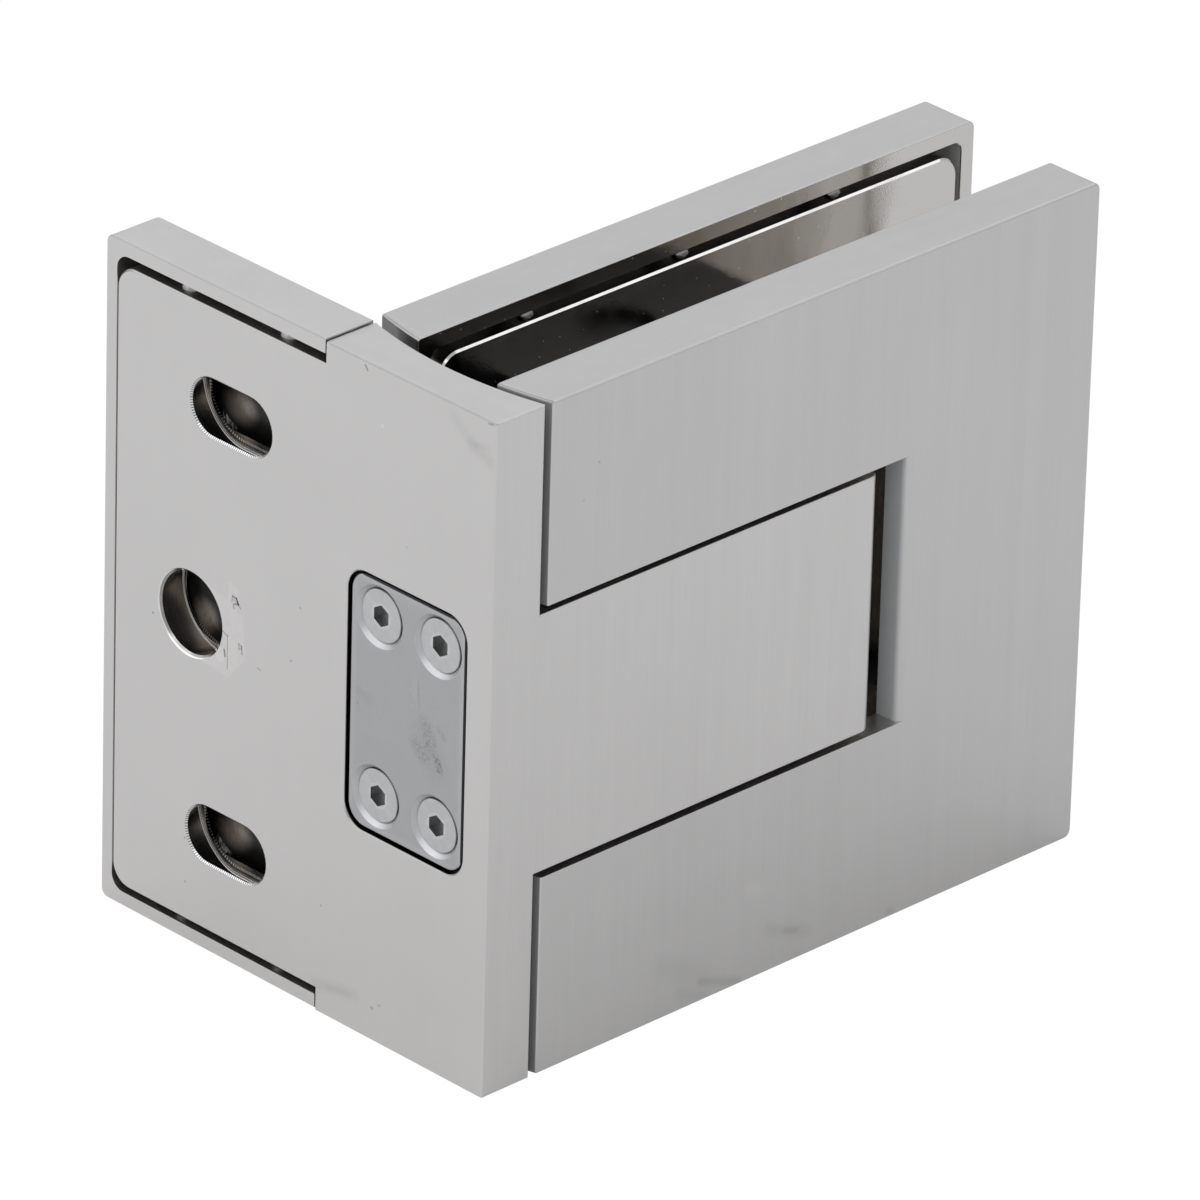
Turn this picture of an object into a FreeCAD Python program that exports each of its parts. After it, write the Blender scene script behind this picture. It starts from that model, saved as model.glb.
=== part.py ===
import FreeCAD, Part
import math
import os

# Wall-to-glass door hinge: a fixed wall plate with a tongue, and a two-plate
# glass clamp that turns about an upright pin through that tongue.
# Millimetres. X points out of the wall, Y along it, Z up. The pieces are laid
# out about the pin's plane (y = 0) with the wall face at x = 0 and mid-height at
# z = 0, and all move together to the part's origin: the centre of the round
# fixing hole on the wall face.

V = FreeCAD.Vector
X_AXIS = V(1, 0, 0)
Y_AXIS = V(0, 1, 0)
Z_AXIS = V(0, 0, 1)
ORIGIN = V(0, 0, 0)

# Overall sizes
HEIGHT = 90.0                # height of the flange, the wall cover and the clamp
WALL_THICKNESS = 7.9         # wall face to the front of the wall cover
BLOCK_DEPTH = 29.2           # flange, tongue and tightened clamp, along Y
PIVOT_X = 49.0               # wall face to the pin's axis
CLAMP_END_X = 101.1          # wall face to the glass end of the clamp
FRONT_RADIUS = 55.8          # hollow front of the flange
END_GAP = 1.1                # between that hollow and the clamp's rounded ends

# Wall plate
WALL_PLATE_THICKNESS = 5.2   # thin part that the screws hold
WALL_PLATE_END_GAP = 1.1     # plate to the cover's top and bottom walls
WALL_PLATE_CORNER = 3.0
COVER_FAR_Y = 53.3           # far end of the wall cover
WALL_COVER_FACE = 2.3
WALL_COVER_WALL = 1.9
COVER_JOINT_GAP = 0.2        # cover's open end to the flange
COVER_NEST_GAP = 0.06        # thin plate to the cover's far wall
COVER_LIFT = 0.3             # its catches push the cover up by this much
COVER_ROUND = 1.1            # free corners of every cover
ARC_END_EDGE = 0.4           # corners of the clamp covers at their arc end
COVER_EDGE = 0.35            # face edges of every cover
COVER_INNER_ROUND = 1.3
WALL_COVER_INNER_ROUND = 2.0
RIM_EDGE = 0.2               # back edges of every cover's rim
RIM_INNER_EDGE = 0.12        # inner edges of the clamp covers' rims

# Fixing holes in the wall plate
SLOT_WIDTH = 7.6
SLOT_LENGTH = 14.1
SLOT_Y = 31.0
SLOT_SPACING = 57.8
SLOT_SINK_WIDTH = 11.6       # countersink at the front of each slot
SLOT_SINK_DEPTH = 2.0
PLUG_HOLE_DIAMETER = 10.8
PLUG_HOLE_Y = 37.8
PLUG_SINK_DIAMETER = 13.2
PLUG_SINK_DEPTH = 0.9
SLOT_RIM = 0.25              # broken edges of the slots on the wall face
PLUG_HOLE_RIM = 0.4

# Tongue
TONGUE_END_X = 64.9
TONGUE_HEIGHT = 34.7
TONGUE_END_ROUND = 2.0
BLOCK_EDGE = 0.25            # small broken edges of the wall body

# Spring chamber, closed on the wall face by a screwed plate
CHAMBER_WIDTH = 20.7
CHAMBER_HEIGHT = 34.7
CHAMBER_CORNER = 3.2
CHAMBER_PLATE_THICKNESS = 2.4
CHAMBER_PLATE_RECESS = 0.35
CHAMBER_PLATE_GAP = 0.4      # all round the plate
CHAMBER_PLATE_EDGE = 0.3
CHAMBER_RIM = 0.15           # broken edge of the pocket on the wall face
GASKET_THICKNESS = 0.4
CHAMBER_SCREW_INSET_Y = 5.25 # pocket's side to a screw's axis
CHAMBER_SCREW_INSET_Z = 5.3
CHAMBER_SCREW_DIAMETER = 4.0
CHAMBER_SCREW_LENGTH = 9.0
CHAMBER_SCREW_HEAD = 7.5
CHAMBER_SCREW_HEX = 2.5
CHAMBER_SCREW_SINK_GAP = 0.35
CHAMBER_SINK_EDGE = 0.15
CHAMBER_SCREW_EDGE = 0.2     # broken edge round each head

# Pin, bushes and plunger
PIN_DIAMETER = 10.0
PIN_END_INSET = 1.5          # pin's ends inside the bosses
PIN_FLAT_DEPTH = 1.1
RUNNING_CLEARANCE = 0.05
SLIDE_CLEARANCE = 0.05
SEAT_CLEARANCE = 0.02
BUSH_WALL = 1.6
BUSH_LENGTH = 8.0
WASHER_THICKNESS = 1.2
WASHER_DIAMETER = 19.0
WASHER_BORE_GAP = 0.2
WASHER_PLAY = 0.1
PLUNGER_DIAMETER = 16.0
PLUNGER_LENGTH = 14.0
PLUNGER_PIN_GAP = 0.3
PLUNGER_NOSE_BEVEL = 1.0
SPRING_OUTER_DIAMETER = 15.2
SPRING_WIRE = 2.2
SPRING_TURNS = 6
SPRING_SEAT_THICKNESS = 1.6
SPIGOT_DIAMETER = 9.0
SPIGOT_LENGTH = 4.0

# Glass clamp
CLAMP_HALF_THICKNESS = 8.0   # each half, cover's face to its rim
CLAMP_COVER_FACE = 3.7
CLAMP_COVER_WALL = 2.25
CLAMP_PLATE_THICKNESS = 4.6
CLAMP_PLATE_TOP_GAP = 1.1    # clamp plate to the cover's top and bottom walls
CLAMP_PLATE_END_GAP = 1.0    # clamp plate to the cover's end walls
CLAMP_PLATE_CORNER = 3.0
CLAMP_PLATE_BEVEL = 0.25     # polished bevel round the face towards the glass
CLAMP_PLATE_COVER_GAP = 0.1
CUTOUT_GAP = 0.85            # tongue to the window's upper and lower edges
CUTOUT_FACE_X = 70.35        # outer edge of the window round the tongue
CUTOUT_ROUND = 1.1           # its rounded edge on the cover's face
SWING_RELIEF = 2.2           # tongue's swinging corner to the clamp plates
FAR_SLIP = 1.1               # the far half hangs loose: this far outward
FAR_SLACK = 1.4              # and this far from where it clamps the glass

# Pin bosses of the near clamp plate
BOSS_HALF_WIDTH = 20.0
BOSS_HEIGHT = 12.85
BOSS_SEAT_GAP = 0.1          # to the far plate, when it is drawn tight
CLAMP_SCREW_DIAMETER = 6.0
CLAMP_SCREW_HALF_PITCH = 14.0
CLAMP_SCREW_LENGTH = 14.0
CLAMP_SCREW_HEAD = 10.0
CLAMP_SCREW_HEAD_HEIGHT = 2.6
CLAMP_SCREW_HEX = 4.0
CLAMP_SCREW_HEAD_DEPTH = 0.3
SLIP_MARGIN = 0.2
SET_SCREW_DIAMETER = 5.0
SET_SCREW_HEX = 2.5
SET_SCREW_INSET = 0.4

# Ball catches that hold the covers
WALL_CATCH_DIAMETER = 3.0
CLAMP_CATCH_DIAMETER = 2.3
CATCH_DEPTH = 4.0
CATCH_TIP_GAP = 0.08
WALL_CATCH_Y = (23.3, 40.6)
CLAMP_CATCH_X = 52.5
CLAMP_CATCH_PITCH = 25.8
THREAD_CLEARANCE = 0.05

# Places that follow from those sizes
HALF_HEIGHT = HEIGHT / 2
HALF_DEPTH = BLOCK_DEPTH / 2
WALL_PLATE_HEIGHT = HEIGHT - 2 * (WALL_COVER_WALL + WALL_PLATE_END_GAP)
CLAMP_PLATE_HEIGHT = HEIGHT - 2 * (CLAMP_COVER_WALL + CLAMP_PLATE_TOP_GAP)
CUTOUT_HEIGHT = TONGUE_HEIGHT + 2 * CUTOUT_GAP
TONGUE_TOP = TONGUE_HEIGHT / 2
ARC_CENTRE_X = WALL_THICKNESS + math.sqrt(FRONT_RADIUS**2 - HALF_DEPTH**2)
CLAMP_END_RADIUS = FRONT_RADIUS - END_GAP
COVER_NEAR_Y = HALF_DEPTH + COVER_JOINT_GAP
WALL_PLATE_FAR_Y = COVER_FAR_Y - WALL_COVER_WALL - COVER_NEST_GAP
WALL_COVER_INNER_X = WALL_THICKNESS - WALL_COVER_FACE
WALL_COVER_INNER_TOP = HALF_HEIGHT + COVER_LIFT - WALL_COVER_WALL
WALL_COVER_INNER_BOTTOM = -HALF_HEIGHT + COVER_LIFT + WALL_COVER_WALL
CHAMBER_PLATE_BACK = CHAMBER_PLATE_RECESS + CHAMBER_PLATE_THICKNESS
CHAMBER_FLOOR = CHAMBER_PLATE_BACK + GASKET_THICKNESS
BUSH_BORE = PIN_DIAMETER + 2 * RUNNING_CLEARANCE
BUSH_DIAMETER = BUSH_BORE + 2 * BUSH_WALL
PLUNGER_BORE = PLUNGER_DIAMETER + 2 * SLIDE_CLEARANCE
PLUNGER_NOSE_X = PIVOT_X - PIN_DIAMETER / 2 - PLUNGER_PIN_GAP
PLUNGER_BACK_X = PLUNGER_NOSE_X - PLUNGER_LENGTH
SPRING_SEAT_X = CHAMBER_PLATE_BACK + SPRING_SEAT_THICKNESS
RIM_Y = HALF_DEPTH - CLAMP_HALF_THICKNESS
COVER_INNER_Y = HALF_DEPTH - CLAMP_COVER_FACE
PLATE_OUTER_Y = COVER_INNER_Y - CLAMP_PLATE_COVER_GAP
PLATE_GLASS_Y = PLATE_OUTER_Y - CLAMP_PLATE_THICKNESS
PLATE_END_X = CLAMP_END_X - CLAMP_COVER_WALL - CLAMP_PLATE_END_GAP
PLATE_WINDOW_TOP = TONGUE_TOP + WASHER_THICKNESS + WASHER_PLAY
TIP_X = TONGUE_END_X - PIVOT_X - TONGUE_END_ROUND
TIP_Y = HALF_DEPTH - TONGUE_END_ROUND
SWING_RADIUS = math.hypot(TIP_X, TIP_Y) + TONGUE_END_ROUND
PLATE_WINDOW_X = PIVOT_X + SWING_RADIUS + SWING_RELIEF
BOSS_TOP_Z = PLATE_WINDOW_TOP + BOSS_HEIGHT
BOSS_MID_Z = (PLATE_WINDOW_TOP + BOSS_TOP_Z) / 2
CLAMP_CATCH_PLACES = [CLAMP_CATCH_X + step * CLAMP_CATCH_PITCH for step in (-1, 0, 1)]

TO_ORIGIN = V(0, -PLUG_HOLE_Y, 0)

# Reach of a cutting tool past the face that it leaves
PAST = 1.0


def block(x0, x1, y0, y1, z0, z1):
    """A box between two corners."""
    return Part.makeBox(x1 - x0, y1 - y0, z1 - z0, V(x0, y0, z0))


def rod(diameter, start, end):
    """A round bar between two points."""
    return Part.makeCylinder(diameter / 2, (end - start).Length, start, end - start)


def taper(start_diameter, end_diameter, start, end):
    """A round bar whose diameter changes evenly between two points."""
    axis = end - start
    return Part.makeCone(start_diameter / 2, end_diameter / 2, axis.Length, start, axis)


def rounded_panel_x(y_size, z_size, corner, x0, x1, y_mid=0.0, z_mid=0.0):
    """An upright panel facing X, with the corners of its outline rounded."""
    y0 = y_mid - y_size / 2
    z0 = z_mid - z_size / 2
    panel = block(x0, x1, y0, y0 + y_size, z0, z0 + z_size)
    corners = [edge for edge in panel.Edges if edge.BoundBox.XLength > (x1 - x0) / 2]
    return panel.makeFillet(corner, corners)


def slot_x(length, width, x0, x1, y_mid, z_mid):
    """A level slot through X, round at both ends."""
    half = (length - width) / 2
    ends = [rod(width, V(x0, y_mid + side * half, z_mid), V(x1, y_mid + side * half, z_mid))
            for side in (-1, 1)]
    middle = block(x0, x1, y_mid - half, y_mid + half, z_mid - width / 2, z_mid + width / 2)
    return middle.fuse(ends).removeSplitter()


def slot_sink(y_mid, z_mid):
    """Countersink of a slot: its width grows evenly towards the front."""
    x0 = WALL_PLATE_THICKNESS - SLOT_SINK_DEPTH
    x1 = WALL_PLATE_THICKNESS
    grow = (SLOT_SINK_WIDTH - SLOT_WIDTH) / 2
    half = (SLOT_LENGTH - SLOT_WIDTH) / 2
    cones = [taper(SLOT_WIDTH, SLOT_SINK_WIDTH, V(x0, y_mid + side * half, z_mid),
                   V(x1, y_mid + side * half, z_mid)) for side in (-1, 1)]
    z0 = SLOT_WIDTH / 2
    corners = [V(x0, y_mid - half, z_mid - z0), V(x0, y_mid - half, z_mid + z0),
               V(x1, y_mid - half, z_mid + z0 + grow), V(x1, y_mid - half, z_mid - z0 - grow)]
    face = Part.Face(Part.makePolygon(corners + corners[:1]))
    return face.extrude(V(0, 2 * half, 0)).fuse(cones).removeSplitter()


def hex_socket(across, start, depth_vector):
    """A hexagonal recess that starts at a point and runs along a vector."""
    axis = V(depth_vector).normalize()
    side = Z_AXIS.cross(axis).normalize()
    up = axis.cross(side)
    radius = across / math.sqrt(3)
    points = []
    for step in range(6):
        angle = math.radians(60 * step + 30)
        points.append(start + side * radius * math.cos(angle) + up * radius * math.sin(angle))
    return Part.Face(Part.makePolygon(points + points[:1])).extrude(depth_vector)


def upright_prism(points_and_arcs, z0, z1):
    """A prism standing on Z over an outline of straight and curved edges."""
    face = Part.Face(Part.Wire(points_and_arcs))
    face.translate(V(0, 0, z0))
    return face.extrude(V(0, 0, z1 - z0))


def arc_x(radius, y):
    """Where an arc about the hollow front's centre crosses a given y."""
    return ARC_CENTRE_X - math.sqrt(radius**2 - y**2)


def arc_edge(radius, y0, y1):
    """The stretch of that arc from y0 to y1, at z = 0."""
    middle = (y0 + y1) / 2
    points = [V(arc_x(radius, y), y, 0) for y in (y0, middle, y1)]
    return Part.Arc(*points).toShape()


def arc_ended_outline(radius, end_x, y0, y1):
    """Outline with a rounded end towards the wall and a square end away from it."""
    near = V(arc_x(radius, y0), y0, 0)
    far = V(arc_x(radius, y1), y1, 0)
    near_end = V(end_x, y0, 0)
    far_end = V(end_x, y1, 0)
    return [arc_edge(radius, y0, y1), Part.makeLine(far, far_end),
            Part.makeLine(far_end, near_end), Part.makeLine(near_end, near)]


def upright_edges(shape, x, y):
    """The upright edges that pass a place in plan."""
    found = []
    for edge in shape.Edges:
        box = edge.BoundBox
        level = math.hypot(box.XLength, box.YLength)
        if level < 0.01 and math.hypot(box.Center.x - x, box.Center.y - y) < 0.01:
            found.append(edge)
    return found


def cross_edges(shape, height):
    """The short edges that cross the top and bottom faces at their ends."""
    found = []
    for edge in shape.Edges:
        box = edge.BoundBox
        flat = box.ZLength < 0.01 and abs(abs(box.Center.z) - height) < 0.01
        if flat and box.YLength > 0.5 and box.XLength < box.YLength:
            found.append(edge)
    return found


def face_rim(shape, y):
    """The edges round the flat face that stands at a given y."""
    for face in shape.Faces:
        box = face.BoundBox
        if box.YLength < 0.001 and abs(box.Center.y - y) < 0.001:
            return face.OuterWire.Edges
    return []


def wall_body():
    """Flange, thin screw plate and tongue: one casting."""
    outline = [arc_edge(FRONT_RADIUS, -HALF_DEPTH, HALF_DEPTH),
               Part.makeLine(V(WALL_THICKNESS, HALF_DEPTH, 0), V(0, HALF_DEPTH, 0)),
               Part.makeLine(V(0, HALF_DEPTH, 0), V(0, -HALF_DEPTH, 0)),
               Part.makeLine(V(0, -HALF_DEPTH, 0), V(WALL_THICKNESS, -HALF_DEPTH, 0))]
    flange = upright_prism(outline, -HALF_HEIGHT, HALF_HEIGHT)
    rims = face_rim(flange, -HALF_DEPTH) + [
        edge for edge in flange.Edges
        if edge.BoundBox.ZLength < 0.001 and edge.BoundBox.XMax < 0.001
        and edge.BoundBox.YLength > HALF_DEPTH]
    flange = flange.makeFillet(BLOCK_EDGE, rims)

    half = WALL_PLATE_HEIGHT / 2
    plate = block(0, WALL_PLATE_THICKNESS, 0, WALL_PLATE_FAR_Y, -half, half)
    far_corners = [edge for edge in plate.Edges if edge.BoundBox.XLength > 1
                   and edge.BoundBox.Center.y > WALL_PLATE_FAR_Y - 0.01]
    plate = plate.makeFillet(WALL_PLATE_CORNER, far_corners)
    back_edges = [edge for edge in plate.Edges if edge.BoundBox.XLength < 0.001
                  and edge.BoundBox.XMax < 0.001 and edge.BoundBox.YMax > 0.001]
    plate = plate.makeChamfer(BLOCK_EDGE, back_edges)

    tongue = block(WALL_THICKNESS / 2, TONGUE_END_X, -HALF_DEPTH, HALF_DEPTH, -TONGUE_TOP, TONGUE_TOP)
    tips = upright_edges(tongue, TONGUE_END_X, -HALF_DEPTH)
    tips += upright_edges(tongue, TONGUE_END_X, HALF_DEPTH)
    tongue = tongue.makeFillet(TONGUE_END_ROUND, tips)
    long_edges = [edge for edge in tongue.Edges if edge.BoundBox.ZLength < 0.001
                  and edge.BoundBox.XMax > WALL_THICKNESS]
    tongue = tongue.makeFillet(BLOCK_EDGE, long_edges)

    body = flange.fuse([plate, tongue]).removeSplitter()
    body = body.cut(chamber_cuts() + fixing_cuts() + wall_catch_holes())
    slots = wall_face_rim(body, SLOT_Y, SLOT_LENGTH, SLOT_SPACING / 2, SLOT_WIDTH)
    slots += wall_face_rim(body, SLOT_Y, SLOT_LENGTH, -SLOT_SPACING / 2, SLOT_WIDTH)
    plug_hole = wall_face_rim(body, PLUG_HOLE_Y, PLUG_HOLE_DIAMETER, 0, PLUG_HOLE_DIAMETER)
    pocket = wall_face_rim(body, 0, CHAMBER_WIDTH, 0, CHAMBER_HEIGHT)
    body = body.makeChamfer(SLOT_RIM, slots)
    body = body.makeChamfer(PLUG_HOLE_RIM, plug_hole)
    return body.makeChamfer(CHAMBER_RIM, pocket)


def wall_face_rim(shape, y_mid, y_size, z_mid, z_size):
    """The edges of one opening in the wall face, known by the opening's place and size."""
    found = []
    for edge in shape.Edges:
        box = edge.BoundBox
        inside_y = box.YMin > y_mid - y_size / 2 - 0.01 and box.YMax < y_mid + y_size / 2 + 0.01
        inside_z = box.ZMin > z_mid - z_size / 2 - 0.01 and box.ZMax < z_mid + z_size / 2 + 0.01
        if abs(box.XMin) < 0.001 and abs(box.XMax) < 0.001 and inside_y and inside_z:
            found.append(edge)
    return found


def chamber_cuts():
    """Pocket for the chamber plate, the plunger's bore, the pin's bore and threads."""
    pocket = rounded_panel_x(CHAMBER_WIDTH, CHAMBER_HEIGHT, CHAMBER_CORNER, -PAST, CHAMBER_FLOOR)
    plunger_bore = rod(PLUNGER_BORE, V(CHAMBER_FLOOR - PAST, 0, 0), V(PIVOT_X, 0, 0))
    pin_bore = rod(BUSH_DIAMETER + 2 * SEAT_CLEARANCE, V(PIVOT_X, 0, -TONGUE_TOP - PAST),
                   V(PIVOT_X, 0, TONGUE_TOP + PAST))
    cuts = [pocket, plunger_bore, pin_bore]
    depth = CHAMBER_PLATE_RECESS + CHAMBER_SCREW_LENGTH + PAST
    for y, z in chamber_screw_places():
        hole = CHAMBER_SCREW_DIAMETER + 2 * THREAD_CLEARANCE
        cuts.append(rod(hole, V(CHAMBER_FLOOR - PAST, y, z), V(depth, y, z)))
    return cuts


def chamber_screw_places():
    """The four screws of the chamber plate, as (y, z)."""
    across = CHAMBER_WIDTH / 2 - CHAMBER_SCREW_INSET_Y
    up = CHAMBER_HEIGHT / 2 - CHAMBER_SCREW_INSET_Z
    return [(y * across, z * up) for y in (-1, 1) for z in (-1, 1)]


def fixing_cuts():
    """Two level slots and one round hole, each wider at the front."""
    cuts = []
    for z in (-SLOT_SPACING / 2, SLOT_SPACING / 2):
        cuts.append(slot_x(SLOT_LENGTH, SLOT_WIDTH, -PAST, WALL_PLATE_THICKNESS + PAST, SLOT_Y, z))
        cuts.append(slot_sink(SLOT_Y, z))
    back = V(-PAST, PLUG_HOLE_Y, 0)
    front = V(WALL_PLATE_THICKNESS + PAST, PLUG_HOLE_Y, 0)
    cuts.append(rod(PLUG_HOLE_DIAMETER, back, front))
    sink_start = V(WALL_PLATE_THICKNESS - PLUG_SINK_DEPTH, PLUG_HOLE_Y, 0)
    cuts.append(rod(PLUG_SINK_DIAMETER, sink_start, front))
    return cuts


def catch_hole(diameter, place, direction):
    """Blind hole for one catch, sunk from a plate's edge."""
    return rod(diameter + 2 * SEAT_CLEARANCE, place + direction * PAST,
               place - direction * CATCH_DEPTH)


def catch(diameter, place, direction, reach):
    """A pin with a ball nose that stands out of a plate's edge by its reach."""
    radius = diameter / 2
    body = rod(diameter, place - direction * CATCH_DEPTH, place)
    nose = Part.makeSphere(radius, place + direction * (reach - radius))
    beyond = rod(diameter * 2, place + direction * (reach - radius), place + direction * reach * 2)
    nose = nose.common(beyond)
    if reach > radius:
        body = body.fuse(rod(diameter, place, place + direction * (reach - radius)))
        return body.fuse(nose).removeSplitter()
    return body.fuse(nose.cut(body)).removeSplitter()


def wall_catch_rows():
    """Each catch of the wall plate: its place, its direction and its reach."""
    x = WALL_PLATE_THICKNESS / 2
    half = WALL_PLATE_HEIGHT / 2
    rows = []
    for y in WALL_CATCH_Y:
        rows.append((V(x, y, half), Z_AXIS, WALL_COVER_INNER_TOP - half - CATCH_TIP_GAP))
        rows.append((V(x, y, -half), -Z_AXIS, -half - WALL_COVER_INNER_BOTTOM - CATCH_TIP_GAP))
    return rows


def wall_catch_holes():
    """The holes that the wall plate's catches sit in."""
    return [catch_hole(WALL_CATCH_DIAMETER, place, direction)
            for place, direction, reach in wall_catch_rows()]


def wall_catches():
    """Four catches that hold the wall cover."""
    return Part.makeCompound([catch(WALL_CATCH_DIAMETER, *row) for row in wall_catch_rows()])


def wall_cover():
    """Tray over the thin plate: a face and three walls, open towards the flange."""
    z0 = -HALF_HEIGHT + COVER_LIFT
    z1 = HALF_HEIGHT + COVER_LIFT
    tray = block(0, WALL_THICKNESS, COVER_NEAR_Y, COVER_FAR_Y, z0, z1)
    corners = [edge for edge in tray.Edges if edge.BoundBox.XLength > 1
               and edge.BoundBox.Center.y > COVER_FAR_Y - 0.01]
    corners += upright_edges(tray, WALL_THICKNESS, COVER_FAR_Y)
    tray = tray.makeFillet(COVER_ROUND, corners)
    front = [edge for edge in tray.Edges if edge.BoundBox.XLength < 0.001
             and edge.BoundBox.XMin > WALL_THICKNESS - 0.001
             and edge.BoundBox.Center.y < COVER_FAR_Y - COVER_ROUND - 0.01]
    tray = tray.makeFillet(COVER_EDGE, front)
    back = [edge for edge in tray.Edges if edge.BoundBox.XMax < 0.001
            and edge.BoundBox.YMax > COVER_NEAR_Y + 0.01]
    tray = tray.makeFillet(RIM_EDGE, back)
    hollow = block(-PAST, WALL_COVER_INNER_X, COVER_NEAR_Y - PAST, COVER_FAR_Y - WALL_COVER_WALL,
                   WALL_COVER_INNER_BOTTOM, WALL_COVER_INNER_TOP)
    inner = [edge for edge in hollow.Edges if edge.BoundBox.XLength > 1
             and edge.BoundBox.Center.y > COVER_FAR_Y - WALL_COVER_WALL - 0.01]
    return tray.cut(hollow.makeFillet(WALL_COVER_INNER_ROUND, inner))


def chamber_panel(x0, x1):
    """A panel that fits the chamber's pocket with a gap all round."""
    width = CHAMBER_WIDTH - 2 * CHAMBER_PLATE_GAP
    height = CHAMBER_HEIGHT - 2 * CHAMBER_PLATE_GAP
    return rounded_panel_x(width, height, CHAMBER_CORNER - CHAMBER_PLATE_GAP, x0, x1)


def chamber_plate():
    """Steel plate over the spring chamber, with four countersunk holes."""
    plate = chamber_panel(CHAMBER_PLATE_RECESS, CHAMBER_PLATE_BACK)
    outer = [edge for edge in plate.Edges if edge.BoundBox.XMax < CHAMBER_PLATE_RECESS + 0.001]
    plate = plate.makeFillet(CHAMBER_PLATE_EDGE, outer)
    cuts = []
    sink = CHAMBER_SCREW_HEAD + 2 * CHAMBER_SCREW_SINK_GAP
    hole = CHAMBER_SCREW_DIAMETER + 2 * CHAMBER_SCREW_SINK_GAP
    for y, z in chamber_screw_places():
        face = V(CHAMBER_PLATE_RECESS, y, z)
        cuts.append(taper(sink, hole, face, face + X_AXIS * (sink - hole) / 2))
        cuts.append(rod(hole, face, V(CHAMBER_PLATE_BACK + PAST, y, z)))
    plate = plate.cut(cuts)
    sinks = [edge for edge in plate.Edges if edge.BoundBox.XMax < CHAMBER_PLATE_RECESS + 0.001
             and abs(edge.BoundBox.ZLength - sink) < 0.01]
    return plate.makeFillet(CHAMBER_SINK_EDGE, sinks)


def chamber_gasket():
    """Seal between the chamber plate and the pocket's floor."""
    gasket = chamber_panel(CHAMBER_PLATE_BACK, CHAMBER_FLOOR)
    cuts = [rod(PLUNGER_BORE, V(0, 0, 0), V(CHAMBER_FLOOR + PAST, 0, 0))]
    for y, z in chamber_screw_places():
        hole = CHAMBER_SCREW_DIAMETER + 2 * CHAMBER_SCREW_SINK_GAP
        cuts.append(rod(hole, V(0, y, z), V(CHAMBER_FLOOR + PAST, y, z)))
    return gasket.cut(cuts)


def chamber_screw(y, z):
    """One countersunk screw with a hexagonal socket, head towards the wall."""
    head_depth = (CHAMBER_SCREW_HEAD - CHAMBER_SCREW_DIAMETER) / 2
    top = V(CHAMBER_PLATE_RECESS + CHAMBER_SCREW_SINK_GAP, y, z)
    shank_end = V(CHAMBER_PLATE_RECESS + CHAMBER_SCREW_LENGTH, y, z)
    head = taper(CHAMBER_SCREW_HEAD, CHAMBER_SCREW_DIAMETER, top, top + X_AXIS * head_depth)
    rim = [edge for edge in head.Edges if edge.BoundBox.XMax < top.x + 0.001]
    head = head.makeFillet(CHAMBER_SCREW_EDGE, rim)
    shank = rod(CHAMBER_SCREW_DIAMETER, top + X_AXIS * head_depth, shank_end)
    socket = hex_socket(CHAMBER_SCREW_HEX, top, X_AXIS * head_depth)
    return head.fuse(shank).removeSplitter().cut(socket)


def chamber_screws():
    """The four screws of the chamber plate."""
    return Part.makeCompound([chamber_screw(y, z) for y, z in chamber_screw_places()])


def spring_seat():
    """Disc against the chamber plate, with a spigot that centres the spring."""
    disc = rod(PLUNGER_DIAMETER, V(CHAMBER_PLATE_BACK, 0, 0), V(SPRING_SEAT_X, 0, 0))
    spigot = rod(SPIGOT_DIAMETER, V(SPRING_SEAT_X, 0, 0), V(SPRING_SEAT_X + SPIGOT_LENGTH, 0, 0))
    return disc.fuse(spigot).removeSplitter()


def closing_spring():
    """Coil spring between the seat and the plunger, its end turns on both faces."""
    coil_radius = (SPRING_OUTER_DIAMETER - SPRING_WIRE) / 2
    length = PLUNGER_BACK_X - SPRING_SEAT_X - SPRING_WIRE
    helix = Part.makeHelix(length / SPRING_TURNS, length, coil_radius)
    circle = Part.Wire(Part.makeCircle(SPRING_WIRE / 2, V(coil_radius, 0, 0), Y_AXIS))
    coil = Part.Wire(helix).makePipeShell([circle], True, True)
    coil.rotate(ORIGIN, Y_AXIS, 90)
    coil.translate(V(SPRING_SEAT_X + SPRING_WIRE / 2, 0, 0))
    return coil


def plunger():
    """Piston that presses on the pin, with a spigot into the spring."""
    nose = V(PLUNGER_NOSE_X, 0, 0)
    shoulder = nose - X_AXIS * PLUNGER_NOSE_BEVEL
    body = rod(PLUNGER_DIAMETER, V(PLUNGER_BACK_X, 0, 0), shoulder)
    tip = taper(PLUNGER_DIAMETER, PLUNGER_DIAMETER - 2 * PLUNGER_NOSE_BEVEL, shoulder, nose)
    spigot = rod(SPIGOT_DIAMETER, V(PLUNGER_BACK_X - SPIGOT_LENGTH, 0, 0), V(PLUNGER_BACK_X, 0, 0))
    return body.fuse([tip, spigot]).removeSplitter()


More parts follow.
